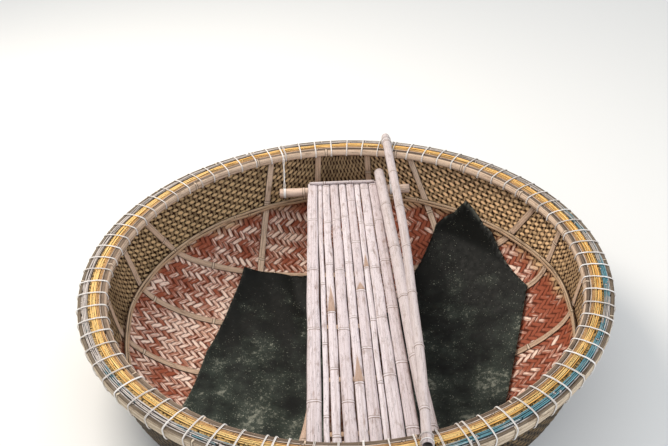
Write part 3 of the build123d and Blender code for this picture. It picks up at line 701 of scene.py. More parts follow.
def rim_outline(clear):
    """Inset and height of the points that a cord passes on its way over the rim, set out by its radius."""
    outside = -HULL_THICKNESS - OUTSIDE_WIDTH
    band_top, inner_top = RIM_TOP - OUTER_DROP, RIM_TOP - INNER_DROP
    return np.array([
        (-HULL_THICKNESS + 0.002, OUTER_BAND_LOW - clear),
        (outside + BAND_CROWN, OUTER_BAND_LOW - clear),
        (outside - clear, OUTER_BAND_LOW + 0.012),
        (outside - clear * 1.3, RIM_TOP - 0.038),
        (outside - clear, band_top - 0.013),
        (outside + BAND_CROWN * 0.7, band_top + clear),
        (-HULL_THICKNESS - 0.016, RIM_TOP - 0.0015 + clear),
        (-HULL_THICKNESS - 0.004, RIM_TOP + clear),
        (0.012, RIM_TOP + clear * 1.1),
        (0.022, RIM_TOP + clear),
        (INSIDE_WIDTH - BAND_CROWN * 0.8, inner_top + clear * 0.9),
        (INSIDE_WIDTH + clear, inner_top - 0.009),
        (INSIDE_WIDTH + clear * 1.3, inner_top - INNER_HEIGHT / 2),
        (INSIDE_WIDTH + clear, INNER_BAND_LOW + 0.009),
        (INSIDE_WIDTH - BAND_CROWN, INNER_BAND_LOW - clear),
        (0.0, INNER_BAND_LOW - clear * 1.5),
    ])


def unit(directions):
    """Directions at a length of one."""
    return directions / np.linalg.norm(directions, axis=-1, keepdims=True)


def distances(line):
    """How far each of a line's points lies along it."""
    return np.append(0, np.cumsum(np.linalg.norm(np.diff(line, axis=0), axis=1)))


CORD_SIDES = 6


def tube(points, radius, tone):
    """A round cord through points, its section kept upright to the way it runs."""
    ahead = unit(np.gradient(points, axis=0))
    start_side = np.cross(ahead[0], UPWARD)
    if np.linalg.norm(start_side) < 0.1:
        start_side = np.array([1.0, 0, 0])
    sides = [unit(start_side)]
    for direction in ahead[1:]:
        sides.append(unit(sides[-1] - direction * np.dot(sides[-1], direction)))
    sides = np.array(sides)
    ups = np.cross(ahead, sides)
    angle = np.linspace(0, 2 * math.pi, CORD_SIDES + 1)[:-1]
    outline = np.stack([radius * np.cos(angle), radius * np.sin(angle)], axis=-1)
    return strip(points, sides, ups, outline, distances(points), 1.0, tone, 0.0)


def smoothed(points, count):
    """A Catmull-Rom run through points, with this many steps between two of them."""
    padded = np.concatenate([2 * points[:1] - points[1:2], points, 2 * points[-1:] - points[-2:-1]])
    step = np.linspace(0, 1, count, endpoint=False)[:, None]
    runs = []
    for a, b, c, d in zip(padded, padded[1:], padded[2:], padded[3:]):
        runs.append(0.5 * (2 * b + (c - a) * step + (2 * a - 5 * b + 4 * c - d) * step**2
                           + (3 * b - a - 3 * c + d) * step**3))
    return np.concatenate(runs + [points[-1:]])


def cord_over_rim(draw, angle, offset, lean=0.0, radius=CORD_RADIUS):
    """One strand over the rim. Offset and lean, in metres along the rim, set it beside the middle."""
    run = smoothed(rim_outline(radius + 0.0003), 3)
    around = wall_radius(run[:, 1], run[:, 0])
    share = np.linspace(-1, 1, len(run))
    shift = (offset + lean * share + wander(draw, share, 0.0003, (3, 5, 8))) / around
    return np.stack([around * np.cos(angle + shift), around * np.sin(angle + shift), run[:, 1]], axis=-1)


def twisted_cord(name, pale, grey):
    """White plastic twine of three strands, grey with dust in the lay of the twist."""
    material, tree, shader = new_material(name)
    along, across, tone = marks(tree, "along", "across", "tone")
    # The lay of the strands: a groove every 3 mm, on the slant round the cord
    slant = total(tree, (along, 2 * math.pi / 0.003), (across, 1400))      # radians a metre
    lay = add(tree, "Math", {0: slant}, operation="SINE")
    dust = grains(tree, add(tree, "TexCoord", {}, "Object"), (17, 17, 17))
    colour = lay_over(tree, pale, grey, total(tree, (dust, 1), (tone, 1)), 0.6, 1.4)
    colour = lay_over(tree, colour, "#8d857c", lay, -0.2, -0.9, 0.35)
    finish_surface(tree, shader, colour, lay, 0.5, 0.65, 0.25)
    return material


white_cord = twisted_cord("white_plastic_cord", "#fdfaf7", "#d9d1ca")
turns = []
for number in range(LASHING_COUNT):
    angle = LASHING_PHASE + 2 * math.pi * number / LASHING_COUNT + draw.normal(0, 0.0012)
    lean = draw.normal(0.002, 0.003)
    for side in (-1, 1):
        offset = side * STRANDS_APART / 2 + draw.normal(0, 0.0002)
        strand = cord_over_rim(draw, angle, offset, lean)
        turns.append(tube(strand, CORD_RADIUS, draw.random()))
make_piece("rim_cord_turns", turns, white_cord, ["rim_lashings"])


# Ribs. Split culms, steamed and bent into the bowl in two families that cross, the long ones over the
# cross ones, with the outer face, grooved by fibres, up. Their ends stop just under the inner band.
RIB_WIDTH = 0.028
RIB_THICKNESS = 0.007
RIB_TOP = INNER_BAND_LOW - 0.003
RIB_RIDGE, RIB_GROOVE = 0.0012, 0.0006
# Offsets from the boat's middle on the floor and at the rib's top
CROSS_RIBS = ((-0.680, -0.500), (-0.385, -0.300), (-0.060, -0.010), (0.265, 0.248), (0.610, 0.415))
LONG_RIBS = ((-0.400, -0.310), (-0.120, -0.090), (0.165, 0.145), (0.540, 0.340))


def in_bowl(arc, inset):
    """Radius and height of the bowl's section, set in from its inner face."""
    slope = np.interp(arc, ARC, ARC_SLOPE)
    radius = np.interp(arc, ARC, ARC_RADIUS) - inset * np.sin(slope)
    return radius, np.interp(arc, ARC, ARC_HEIGHT) + inset * np.cos(slope), slope


def carried(places, run, line):
    """What a line has at these distances along it, where its own points lie at the distances in run."""
    return np.stack([np.interp(places, run, line[:, axis]) for axis in range(3)], axis=-1)


def rib(draw, floor_offset, top_offset, inset, along_x):
    """A strip that lies where a leaning plane meets the bowl."""
    radius, height, slope = in_bowl(ARC, inset)
    climb = (height - FLOOR_HEIGHT) / (RIB_TOP - FLOOR_HEIGHT)
    aside = floor_offset + (top_offset - floor_offset) * climb
    inside = (radius > np.abs(aside)) & (height < RIB_TOP)
    radius, height, slope, aside = radius[inside], height[inside], slope[inside], aside[inside]
    out = np.sqrt(radius**2 - aside**2)
    half = np.stack([out, aside, height], axis=-1)
    inward = -np.sin(slope)
    normal = np.stack([inward * out / radius, inward * aside / radius, np.cos(slope)], axis=-1)
    line = np.concatenate([half[::-1], half * (-1, 1, 1)])
    face = np.concatenate([normal[::-1], normal * (-1, 1, 1)])
    if not along_x:
        line, face = line[:, (1, 0, 2)], face[:, (1, 0, 2)]
    run = distances(line)
    first, pitch = draw.uniform(0.08, 0.3), draw.uniform(0.27, 0.33)
    along = with_joint_stations(np.linspace(0, run[-1], 150), first, pitch)
    joint = near_joint(along, first, pitch)
    centres = carried(along, run, line)
    ups = unit(carried(along, run, face))
    ahead = unit(np.gradient(centres, axis=0))
    sides = np.cross(ahead, ups)
    bow = np.linspace(-1, 1, 9)
    width = 1 + wander(draw, along, 0.02, (9, 17, 31)) + joint_rise(joint, 0.05, 0.02)
    grooves = 0.0003 * np.cos(bow * 3 * math.pi)
    top = RIB_THICKNESS * (0.78 + 0.27 * np.sqrt(1 - 0.92 * bow**2)) + grooves
    half_width, half_thickness = RIB_WIDTH / 2, RIB_THICKNESS / 2
    outline = np.concatenate([np.stack([bow[::-1] * half_width, top - half_thickness], axis=-1),
                              [(-half_width, -half_thickness), (half_width, -half_thickness)]])
    outline = np.broadcast_to(outline, (len(along), 11, 2)).copy()
    outline[:, :, 0] *= width[:, None]
    rise = joint_rise(joint, RIB_RIDGE, RIB_GROOVE) + wander(draw, along, 0.0002, (40, 70))
    outline[:, :9, 1] += rise[:, None]
    outline[:, :, 0] += wander(draw, along, 0.0007, (5, 9))[:, None]
    return strip(centres, sides, ups, outline, along, joint, draw.random(), darker_edge(bow, 2))


# Trodden and splashed, the ribs are warmer and darker than the bench; their edges are painted nearly black
# as shade
rib_bamboo = split_bamboo(
    "grooved_rib_bamboo", "#f0d8c0", "#cfae92", "#6b4c38", stain=0.6, crack=0.5,
    joint_colour="#4c3c30", dull=0.55, rim="#160c06", stripe=0.35
)
for family, ribs, layer in (("cross", CROSS_RIBS, 0.5), ("long", LONG_RIBS, 1.5)):
    for number, offsets in enumerate(ribs, 1):
        part = rib(draw, *offsets, layer * RIB_THICKNESS, family == "cross")
        node = f"rib_{family}_{number}"
        make_piece(node + "_bamboo", [part], rib_bamboo, [node])


# Hoop. Two thin splits, one over the other, sprung into the bowl over the ribs to pin them to the wall.
# They sit askew and wander up and down: low at the near left, high at the right.
HOOP_THICKNESS = 0.008
HOOP_INSET = 2 * RIB_THICKNESS
HOOP_MIDDLE = RIM_TOP - 0.270
HOOP_RISE_RIGHT, HOOP_RISE_AWAY = 0.025, 0.030
HOOP_STRIP_HEIGHT = 0.012
HOOP_GAP = 0.0015
HOOP_FIRST_JOINT, HOOP_JOINTS = 0.12, 0.36
HOOP_RIDGE, HOOP_GROOVE = 0.0010, 0.0005
HOOP_WANDER = np.array([    # degrees round the bowl, metres above the plane that the hoop lies in
    (-180, -0.004), (-176, -0.011), (-170, -0.018), (-164, -0.020), (-150, -0.006), (-120, 0.0),
    (-30, 0.0), (-2, 0.006), (5, 0.013), (12, 0.014), (20, 0.002), (30, -0.007), (40, -0.013),
    (62, -0.014), (90, -0.012), (120, -0.008), (128, 0.0), (140, 0.005), (155, 0.010),
    (168, 0.013), (174, 0.010), (180, -0.004),
])


def hoop(draw, offset):
    """A strip on the ribs, round the bowl at the hoop's height."""
    section_radius, section_height, section_slope = in_bowl(ARC, HOOP_INSET)
    radius = wall_radius(HOOP_MIDDLE, HOOP_INSET)
    start = draw.uniform(0, 2 * math.pi)
    stations = np.arange(0, 2 * math.pi * radius - 0.003, BAND_STEP)
    along = with_joint_stations(stations, HOOP_FIRST_JOINT, HOOP_JOINTS)
    angles = start + along / radius
    joint = near_joint(along, HOOP_FIRST_JOINT, HOOP_JOINTS)
    turn = outward(angles)
    around = np.degrees(np.mod(angles + math.pi, 2 * math.pi) - math.pi)
    height = HOOP_MIDDLE + radius * (turn[:, 0] * HOOP_RISE_RIGHT + turn[:, 1] * HOOP_RISE_AWAY) + offset
    height = height + np.interp(around, *HOOP_WANDER.T) + wander(draw, angles, 0.0007, (15, 24))
    slope = np.interp(height, section_height, section_slope)
    place = np.interp(height, section_height, section_radius)
    centres = place[:, None] * turn + height[:, None] * UPWARD
    sides = -np.sin(slope)[:, None] * turn + np.cos(slope)[:, None] * UPWARD
    ups = np.cos(slope)[:, None] * turn + np.sin(slope)[:, None] * UPWARD
    bow = np.linspace(-1, 1, 7)
    face = HOOP_THICKNESS * (0.62 + 0.38 * np.sqrt(1 - 0.9 * bow**2))
    outline = round_face(face, HOOP_STRIP_HEIGHT / 2)
    outline = np.broadcast_to(outline, (len(along), 9, 2)).copy()
    outline[:, :7, 0] += joint_rise(joint, HOOP_RIDGE, HOOP_GROOVE)[:, None]
    return strip(centres, sides, ups, outline, along, joint, draw.random(), darker_edge(bow, 2))


# The upper split is a little paler than the lower one, and a dark line parts them
hoop_pale = split_bamboo("hoop_bamboo_pale", "#dfc7aa", "#c8ab8c", "#5d4632", stain=0.6, crack=0.4)
hoop_tan = split_bamboo("hoop_bamboo_tan", "#c9a888", "#b08c6e", "#4f3a29", stain=0.6, crack=0.4)
for node, side, material in (("hoop_upper", 1, hoop_pale), ("hoop_lower", -1, hoop_tan)):
    part = hoop(draw, side * (HOOP_STRIP_HEIGHT + HOOP_GAP) / 2)
    make_piece(node + "_split", [part], material, [node])


# Bench. Nine split culms, round side up, lie on two round bearers. Their skin has weathered to a pale
# lilac grey, with brown water marks near the ends, and dark gaps open between them.
SLAT_THICKNESS = 0.006
SLAT_CROWN = 0.006
SLAT_RIDGE, SLAT_GROOVE = 0.0011, 0.0007
SLAT_LOW, SLAT_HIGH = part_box("bench_slat_1")
SLAT_FOOT = SLAT_LOW.z
SLATS = (       # left edge and width at the near end, left edge and width at the far end
    (-0.151, 0.051, -0.144, 0.046),
    (-0.093, 0.020, -0.0955, 0.018),
    (-0.067, 0.030, -0.075, 0.034),
    (-0.031, 0.044, -0.0385, 0.038),
    (0.017, 0.032, 0.002, 0.032),
    (0.052, 0.041, 0.0365, 0.035),
    (0.096, 0.020, 0.074, 0.024),
    (0.119, 0.047, 0.1005, 0.038),
    (0.169, 0.044, 0.141, 0.041),
)
NEAR_UNEVEN, FAR_UNEVEN = 0.006, 0.007      # by this much at most a slat is sawn short
CROWNED_WIDTH = 0.050      # a slat this wide rises by SLAT_CROWN along its middle
BRANCH_SCARS = {       # slat: how far away its joint is, length of the brown scar beyond the joint
    3: (-0.155, 0.190),
    5: (-0.535, 0.165),
    6: (-0.030, 0.060),
    7: (0.120, 0.110),
}


def slat(draw, row, scar_at=0.0, scar_length=0.0):
    """An arched split, its edges a little wavy, with a ridge and a groove at each joint, and on some
    slats a brown scar that narrows away from one joint."""
    near_left, near_width, far_left, far_width = row
    near = SLAT_LOW.y + draw.uniform(0, NEAR_UNEVEN)
    far = SLAT_HIGH.y - draw.uniform(0, FAR_UNEVEN)
    first, pitch = draw.uniform(0.05, 0.30), draw.uniform(0.29, 0.37)
    if scar_length:
        first = np.mod(scar_at - near, pitch)
    along = with_joint_stations(np.linspace(0, far - near, 130), first, pitch)
    joint = near_joint(along, first, pitch)
    share = along / (far - near)
    left = near_left + (far_left - near_left) * share + wander(draw, along, 0.0007, (5, 11, 19))
    width = near_width + (far_width - near_width) * share + wander(draw, along, 0.0006, (7, 13, 23))
    bow = np.linspace(-1, 1, 11)
    arch = np.sqrt(1 - 0.80 * bow**2)
    arch = (arch - arch.min()) / (1 - arch.min())
    crown = SLAT_CROWN * width / CROWNED_WIDTH
    upper = SLAT_THICKNESS + crown[:, None] * arch + joint_rise(joint, SLAT_RIDGE, SLAT_GROOVE)[:, None]
    upper = upper - 0.0016 * (np.abs(bow) > 0.95) + wander(draw, along, 0.0002, (30, 50, 80))[:, None]
    # The underside has every second point of the outer face
    lower = crown[:, None] * arch[::2][::-1]
    underside = np.ones(len(bow[::2]))
    across = bow[None, :] * width[:, None] / 2
    outline = np.stack([np.concatenate([across, across[:, ::2][:, ::-1]], axis=1),
                        np.concatenate([upper, lower], axis=1)], axis=-1)
    centres = np.stack([left + width / 2, near + along, SLAT_FOOT + 0 * along], axis=-1)
    sides = np.broadcast_to(np.array([1.0, 0, 0]), centres.shape)
    ups = np.broadcast_to(UPWARD, centres.shape)
    # The edges and the underside carry the mark that the material paints dark as shade
    edge = np.concatenate([np.abs(bow) ** 3, underside])[None, :]
    part = strip(centres, sides, ups, outline, along, joint, draw.random(), edge)
    if scar_length:
        beyond = (near + along - scar_at) / scar_length
        half_width = np.where(beyond > 0, 1 - beyond, -1)[:, None]
        aside = 0.8 * np.append(np.abs(bow), underside)[None, :]
        part["scar"] = np.clip((half_width - aside) * 2, 0, 1).reshape(-1)
    return part


# Polished by use and bleached by the sun: a pale lilac grey, with fine dark cracks and brown joints
slat_bamboo = split_bamboo(
    "bleached_slat_bamboo", "#e2d9dc", "#c9bcbe", "#876c5e", stain=0.6, crack=0.65,
    joint_colour="#7d675a", dull=0.6, stripe=0.25
)
for number, row in enumerate(SLATS, 1):
    node = f"bench_slat_{number}"
    part = slat(draw, row, *BRANCH_SCARS.get(number, ()))
    make_piece(node + "_split", [part], slat_bamboo, [node])


# Poles. Whole culms, sawn off: two bearers under the slats, the side pole beside them, the crooked pole
# under the left ends, the thin sticks across the slats' ends and the rail pole that lies over the rim.
BEARER_RADIUS = 0.021
JOINT_PITCH = 0.285
CULM_STEP = 0.014
CULM_RIDGE, CULM_GROOVE = 0.0017, 0.0006
FLARE_REACH = 0.04
SAWN_EDGE = 0.0008         # by this much a sawn end is rubbed round
FAR_HOLLOW = 0.02


def culm(draw, points, radius, first, wall=0.0045, deep=0.02, pitch=JOINT_PITCH, faces_round=20,
         thicker=0.0, flare=0.0):
    """A culm through points, with joints, the first of them at a distance from its start, and with ends
    that are sawn through a hollow length. It may grow thicker by a share of its radius along its length,
    and flare at its start."""
    run = distances(points)
    length = run[-1]
    stations = np.linspace(0, length, max(int(length / CULM_STEP), 12))
    along = with_joint_stations(stations, first, pitch)
    body = radius * (1 + thicker * along / length)
    body = body + joint_rise(near_joint(along, first, pitch), CULM_RIDGE, CULM_GROOVE)
    body = body + flare * np.exp(-along / FLARE_REACH)
    body = body + wander(draw, along, radius * 0.008, (9, 17))
    body[[0, -1]] -= SAWN_EDGE
    bore = radius - wall
    far_bore = [length, length - FAR_HOLLOW / 2, length - FAR_HOLLOW]
    along = np.concatenate([[deep, deep * 0.5, 0.0], along, far_bore])
    size = np.concatenate([[bore * 0.98, bore, bore], body, [bore, bore, bore * 0.98]])
    # Points in the bore carry an edge of 2, which the material paints nearly black as shade
    in_bore = np.concatenate([[2, 2, 1.3], 0 * body, [1.3, 2, 2]])
    centres = carried(along, run, points)
    ahead = unit(carried(along, run, np.gradient(points, run, axis=0)))
    sides = unit(np.cross(ahead, UPWARD))
    ups = np.cross(sides, ahead)
    angle = -math.pi / 2 + np.linspace(0, 2 * math.pi, faces_round + 1)[:-1]
    outline = size[:, None, None] * np.stack([np.cos(angle), np.sin(angle)], axis=-1)[None]
    joint = near_joint(along, first, pitch)
    return strip(centres, sides, ups, outline, along, joint, draw.random(), in_bore[:, None])


def bent(near, knee, far, reach):
    """A pole's line through three points, its knee rounded over a reach to each side."""
    near, knee, far = (np.array(point, float) for point in (near, knee, far))
    start = knee + unit(near - knee) * reach
    end = knee + unit(far - knee) * reach
    share = np.linspace(0, 1, 12)[:, None]
    round_part = (1 - share) ** 2 * start + 2 * share * (1 - share) * knee + share**2 * end
    return np.concatenate([near[None], round_part, far[None]])


def line_through(node):
    """The line from end to end through the middle of a CAD piece that lies from left to right."""
    low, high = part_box(node)
    middle_y, middle_z = (low.y + high.y) / 2, (low.z + high.z) / 2
    return np.array([(low.x, middle_y, middle_z), (high.x, middle_y, middle_z)])


# Poles in the open are smooth and pale grey, and the shaded ones under the slats stay tan
pole_bamboo = split_bamboo(
    "pale_pole_bamboo", "#d8cdce", "#c5b9b8", "#8a7565", stain=0.5, crack=0.5,
    joint_colour="#7c6858", dull=0.5, stripe=0.2
)
bearer_bamboo = split_bamboo(
    "tan_bearer_bamboo", "#e4cbba", "#cfb29e", "#75604a", stain=0.6, crack=0.5,
    joint_colour="#65533f", dull=0.55
)
for node in ("bench_bearer_far", "bench_bearer_near"):
    part = culm(draw, line_through(node), BEARER_RADIUS, 0.113)
    make_piece(node + "_culm", [part], bearer_bamboo, [node])

SIDE_RADIUS = 0.0235
low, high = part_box("bench_side_pole")
side_line = np.array([(0.250, low.y), (0.232, -0.500), (0.219, 0.130), (0.197, high.y)])    # right, away
side_height = np.full(len(side_line), SLAT_FOOT + SIDE_RADIUS)
line = smoothed(np.column_stack([side_line, side_height]), 8)
part = culm(draw, line, SIDE_RADIUS, 0.100, pitch=0.330)
make_piece("bench_side_culm", [part], pole_bamboo, ["bench_side_pole"])

LOW_RADIUS, LOW_PRESSED = 0.019, 0.0018
KNEE_REACH = 0.117
low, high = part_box("bench_low_pole")
low_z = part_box("bench_bearer_far")[0].z - LOW_RADIUS + LOW_PRESSED
line = bent((-0.190, low.y, low_z), (-0.130, low.y + 0.260, low_z), (-0.100, high.y, low_z), KNEE_REACH)
part = culm(draw, line, LOW_RADIUS, 0.130)
make_piece("bench_low_culm", [part], bearer_bamboo, ["bench_low_pole"])

STICK_RADIUS = 0.0060
for node in ("bench_stick_far", "bench_stick_near"):
    left_end, right_end = line_through(node)
    share = np.linspace(0, 1, 14)
    line = left_end + (right_end - left_end) * share[:, None]
    line[:, 1] += wander(draw, share, 0.0008, (5, 8))
    part = culm(draw, line, STICK_RADIUS, 0.07, wall=0.003, deep=0.004, pitch=0.12, faces_round=10)
    make_piece(node + "_culm", [part], pole_bamboo, [node])

RAIL_THIN, RAIL_THICK, RAIL_FLARE = 0.0155, 0.0195, 0.0028
RAIL_TIED_RADIUS = RAIL_THIN + RAIL_FLARE * 0.7
RAIL_WALL, RAIL_HOLLOW = 0.0009, 0.13
RAIL_NEAR_REACH, RAIL_FAR_REACH = 0.972, 0.992      # its ends' distances from the boat's middle
RAIL_LINE = np.array([      # right, away, up
    (0.208, -math.sqrt(RAIL_NEAR_REACH**2 - 0.208**2), RIM_TOP + RAIL_TIED_RADIUS),
    (0.228, -0.600, RIM_TOP + RAIL_TIED_RADIUS),
    (0.237, -0.250, RIM_TOP + RAIL_THIN),
    (0.247, 0.200, RIM_TOP + RAIL_THICK),
    (0.236, math.sqrt(RAIL_FAR_REACH**2 - 0.236**2), RIM_TOP + RAIL_THICK),
])
part = culm(draw, smoothed(RAIL_LINE, 8), RAIL_THIN, 0.139, RAIL_WALL, RAIL_HOLLOW,
            thicker=RAIL_THICK / RAIL_THIN - 1, flare=RAIL_FLARE)
make_piece("rail_culm", [part], pole_bamboo, ["rail_pole"])


# Hangers and ties. Doubled white cord holds each bearer's end up to the rim: two strands over the rim,
# two taut falls side by side, and turns round the bearer. Two loops of a single strand tie the rail
# pole down at each end.
HANGER_PLACES = {      # in turns of the binding, counted from the right towards the far side
    "bench_bearer_far": (15.2, 22.2),
    "bench_bearer_near": (-15.75, -23.6),
}
ONE_TURN = 2 * math.pi / LASHING_COUNT
OVER_RIM_RADIUS, FALL_RADIUS, COIL_CORD_RADIUS = 0.0016, 0.0017, 0.0015
FALL_ASIDE, FALL_WAVE = 0.0022, 0.0011
FALL_START, FALL_END = 0.004, 0.022      # above the middles of the inner band and of the bearer
COIL_TURNS, COIL_WIDTH, COIL_CLEAR = 4, 0.0105, 0.0026
hanger_parts = []
for node, places in HANGER_PLACES.items():
    bearer_y, bearer_z = line_through(node)[0][1:]
    for place in places:
        angle = LASHING_PHASE + place * ONE_TURN
        top_z = RIM_TOP - INNER_DROP - INNER_HEIGHT / 2
        radius = wall_radius(top_z, INSIDE_WIDTH + FALL_ASIDE)
        top_x, top_y = radius * math.cos(angle), radius * math.sin(angle)
        for side in (-1, 1):
            over = cord_over_rim(draw, angle, side * FALL_RADIUS, 0.001, OVER_RIM_RADIUS)
            hanger_parts.append(tube(over, OVER_RIM_RADIUS, draw.random()))
            fall_x = top_x + side * FALL_ASIDE
            fall_top = np.array([fall_x, top_y, top_z + FALL_START])
            fall_low = np.array([fall_x, bearer_y - math.copysign(0.0015, top_y), bearer_z + FALL_END])
            share = np.linspace(0, 1, 12)[:, None]
            fall = fall_top + (fall_low - fall_top) * share
            fall[:, 0] += FALL_WAVE * side * np.sin(share[:, 0] * 5 * math.pi)
            hanger_parts.append(tube(fall, FALL_RADIUS, draw.random()))
        wound = np.linspace(0, COIL_TURNS * 2 * math.pi, COIL_TURNS * 18)
        coil_radius = BEARER_RADIUS + COIL_CLEAR
        coil_x = top_x + (wound / wound[-1] - 0.5) * COIL_WIDTH
        coil_y = bearer_y + coil_radius * np.sin(wound)
        coil_z = bearer_z + coil_radius * np.cos(wound)
        coil = np.stack([coil_x, coil_y, coil_z], axis=-1)
        hanger_parts.append(tube(coil, COIL_CORD_RADIUS, draw.random()))
make_piece("hanger_cords", hanger_parts, white_cord, ["bench_hangers"])

RAIL_TIE_SPREAD = 0.024
TIE_RADIUS, TIE_CLEAR = 0.0015, 0.0024
RIM_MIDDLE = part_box("rim_outer_band")[1].x - (OUTSIDE_WIDTH + HULL_THICKNESS + INSIDE_WIDTH) / 2
RAIL_ENDS = (
    (RAIL_LINE[0], RAIL_LINE[1], RAIL_TIED_RADIUS),
    (RAIL_LINE[-1], RAIL_LINE[-2], RAIL_THICK),
)
tie_parts = []
for start, inner, radius in RAIL_ENDS:
    ahead = unit(inner - start)
    across = np.cross(ahead, UPWARD)
    middle_y = math.copysign(math.sqrt(RIM_MIDDLE**2 - start[0] ** 2), start[1])
    for offset in (-RAIL_TIE_SPREAD / 2, RAIL_TIE_SPREAD / 2):
        centre = start + ahead * ((middle_y + offset - start[1]) / ahead[1])
        bend = np.linspace(0, math.pi, 15)[:, None]
        loop = centre + (radius + TIE_CLEAR) * (np.cos(bend) * across + np.sin(bend) * UPWARD)
        leg = np.array([[0, 0, -radius + 0.001], [0, 0, -radius / 2]])
        loop = np.concatenate([loop[0] + leg, loop, (loop[-1] + leg)[::-1]])
        tie_parts.append(tube(loop, TIE_RADIUS, draw.random()))
make_piece("rail_tie_cords", tie_parts, white_cord, ["rail_ties"])


# Mats. Two offcuts of black rubber sheet, 4 mm thick, laid on the ribs. They wave a little, their
# corners lift, and dust, scuffs and dried drops have greyed them.
MAT_THICKNESS = 0.004
LEFT_MAT = (       # right, away, how far the edge after this corner bows out
    (-0.455, 0.572, 0.0),
    (-0.095, 0.562, 0.0),
    (-0.095, -0.560, 0.0),
    (-0.560, -0.500, 0.0),
    (-0.645, -0.320, 0.0),
    (-0.587, 0.060, 0.0),
)
RIGHT_MAT = (
    (0.690, 0.541, 0.006),
    (0.588, 0.679, 0.009),
    (0.459, 0.716, 0.0),
    (0.150, 0.250, 0.0),
    (0.150, -0.420, 0.0),
    (0.560, -0.440, 0.0),
    (0.796, 0.248, 0.0),
)
MAT_LIFT = 2 * RIB_THICKNESS
HOOP_LOW = 0.164
OVER_HOOP = 2 * RIB_THICKNESS + HOOP_THICKNESS + 0.001
MAT_CELL, GRID_REACH = 0.014, 0.98
SLIVER = 0.0045            # smaller cells along the cut edge are merged
DUSTY_EDGE = 0.03
CORNER_CURL, CURL_REACH = 0.005, 0.09
FLAT_BY_WALL = 0.86        # from here outwards a mat leans on the wall without waves


def mat_profile(over_hoop):
    """Radius and height that a mat's underside follows up the bowl."""
    radius, height, slope = in_bowl(ARC, MAT_LIFT)
    if not over_hoop:
        return radius, height
    floor = slope < TURN_SLOPE
    wall_z = np.array([HOOP_LOW, HOOP_LOW + 0.14])
    return np.append(radius[floor], wall_radius(wall_z, OVER_HOOP)), np.append(height[floor], wall_z)


def cut_outline(draw, corners, bows):
    """A mat's edge in plan: some runs between its corners bow out, and the knife wandered a little."""
    outline = []
    for start, end, bow in zip(corners, np.roll(corners, -1, axis=0), bows):
        length = np.linalg.norm(end - start)
        share = np.linspace(0, 1, int(length / 0.02), endpoint=False)[:, None]
        outward = np.array([end[1] - start[1], start[0] - end[0]]) / length
        outline.append(start + (end - start) * share + outward * bow * 4 * share * (1 - share))
    outline = np.concatenate(outline)
    middle = outline.mean(axis=0)
    around = np.linspace(0, 2 * math.pi, len(outline))
    cut_in = np.abs(wander(draw, around, 0.0012, (3, 7, 12, 19)))
    return middle + (outline - middle) * (1 - cut_in)[:, None]


def flat_sheet(name, outline):
    """A flat mesh inside an outline, cut into square cells so that it can bend."""
    grid = bmesh.new()
    grid.faces.new([grid.verts.new((x, y, 0)) for x, y in outline])
    for axis in (0, 1):
        for place in np.arange(-GRID_REACH, GRID_REACH, MAT_CELL):
            normal = [0, 0, 0]
            normal[axis] = 1
            where = [0, 0, 0]
            where[axis] = place
            whole = grid.verts[:] + grid.edges[:] + grid.faces[:]
            bmesh.ops.bisect_plane(grid, geom=whole, plane_co=where, plane_no=normal)
    bmesh.ops.remove_doubles(grid, verts=grid.verts[:], dist=SLIVER)
    mesh = bpy.data.meshes.new(name)
    grid.to_mesh(mesh)
    grid.free()
    return mesh


def mat(name, node, corners, over_hoop, seed, material):
    """A sheet cut to these corners in plan and laid on the bowl, waving a little."""
    draw = np.random.default_rng(seed)
    bows = [corner[2] for corner in corners]
    corners = np.array(corners)[:, :2]
    outline = cut_outline(draw, corners, bows)
    mesh = flat_sheet(name, outline)
    flat = np.empty(len(mesh.vertices) * 3)
    mesh.vertices.foreach_get("co", flat)
    flat = flat.reshape(-1, 3)[:, :2]
    radius, height = mat_profile(over_hoop)
    reach = np.hypot(flat[:, 0], flat[:, 1])
    to_edge = np.abs(flat[:, None] - outline[None]).sum(axis=2).min(axis=1)
    slanting = wander(draw, flat[:, 0] * 11 + flat[:, 1] * 3, 0.004, (1, 2, 3))
    wave = np.abs(slanting + wander(draw, flat[:, 1] * 9, 0.003, (1, 2, 3)))
    wave = wave * np.clip((FLAT_BY_WALL - reach) / 0.1, 0, 1)
    to_corner = np.linalg.norm(flat[:, None] - corners[None], axis=2).min(axis=1)
    curl = CORNER_CURL * np.clip(1 - to_corner / CURL_REACH, 0, 1) ** 2
    z = np.interp(reach, radius, height) + MAT_THICKNESS / 2 + wave + curl
    mesh.vertices.foreach_set("co", np.column_stack([flat, z]).reshape(-1))
    mark_points(mesh, "edge", np.clip(1 - to_edge / DUSTY_EDGE, 0, 1))
    mark_points(mesh, "tone", np.full(len(flat), draw.random()))
    piece = place_piece(name, mesh, material, [node])
    thick = piece.modifiers.new("thickness", "SOLIDIFY")
    thick.thickness = MAT_THICKNESS
    thick.offset = 0
    return piece


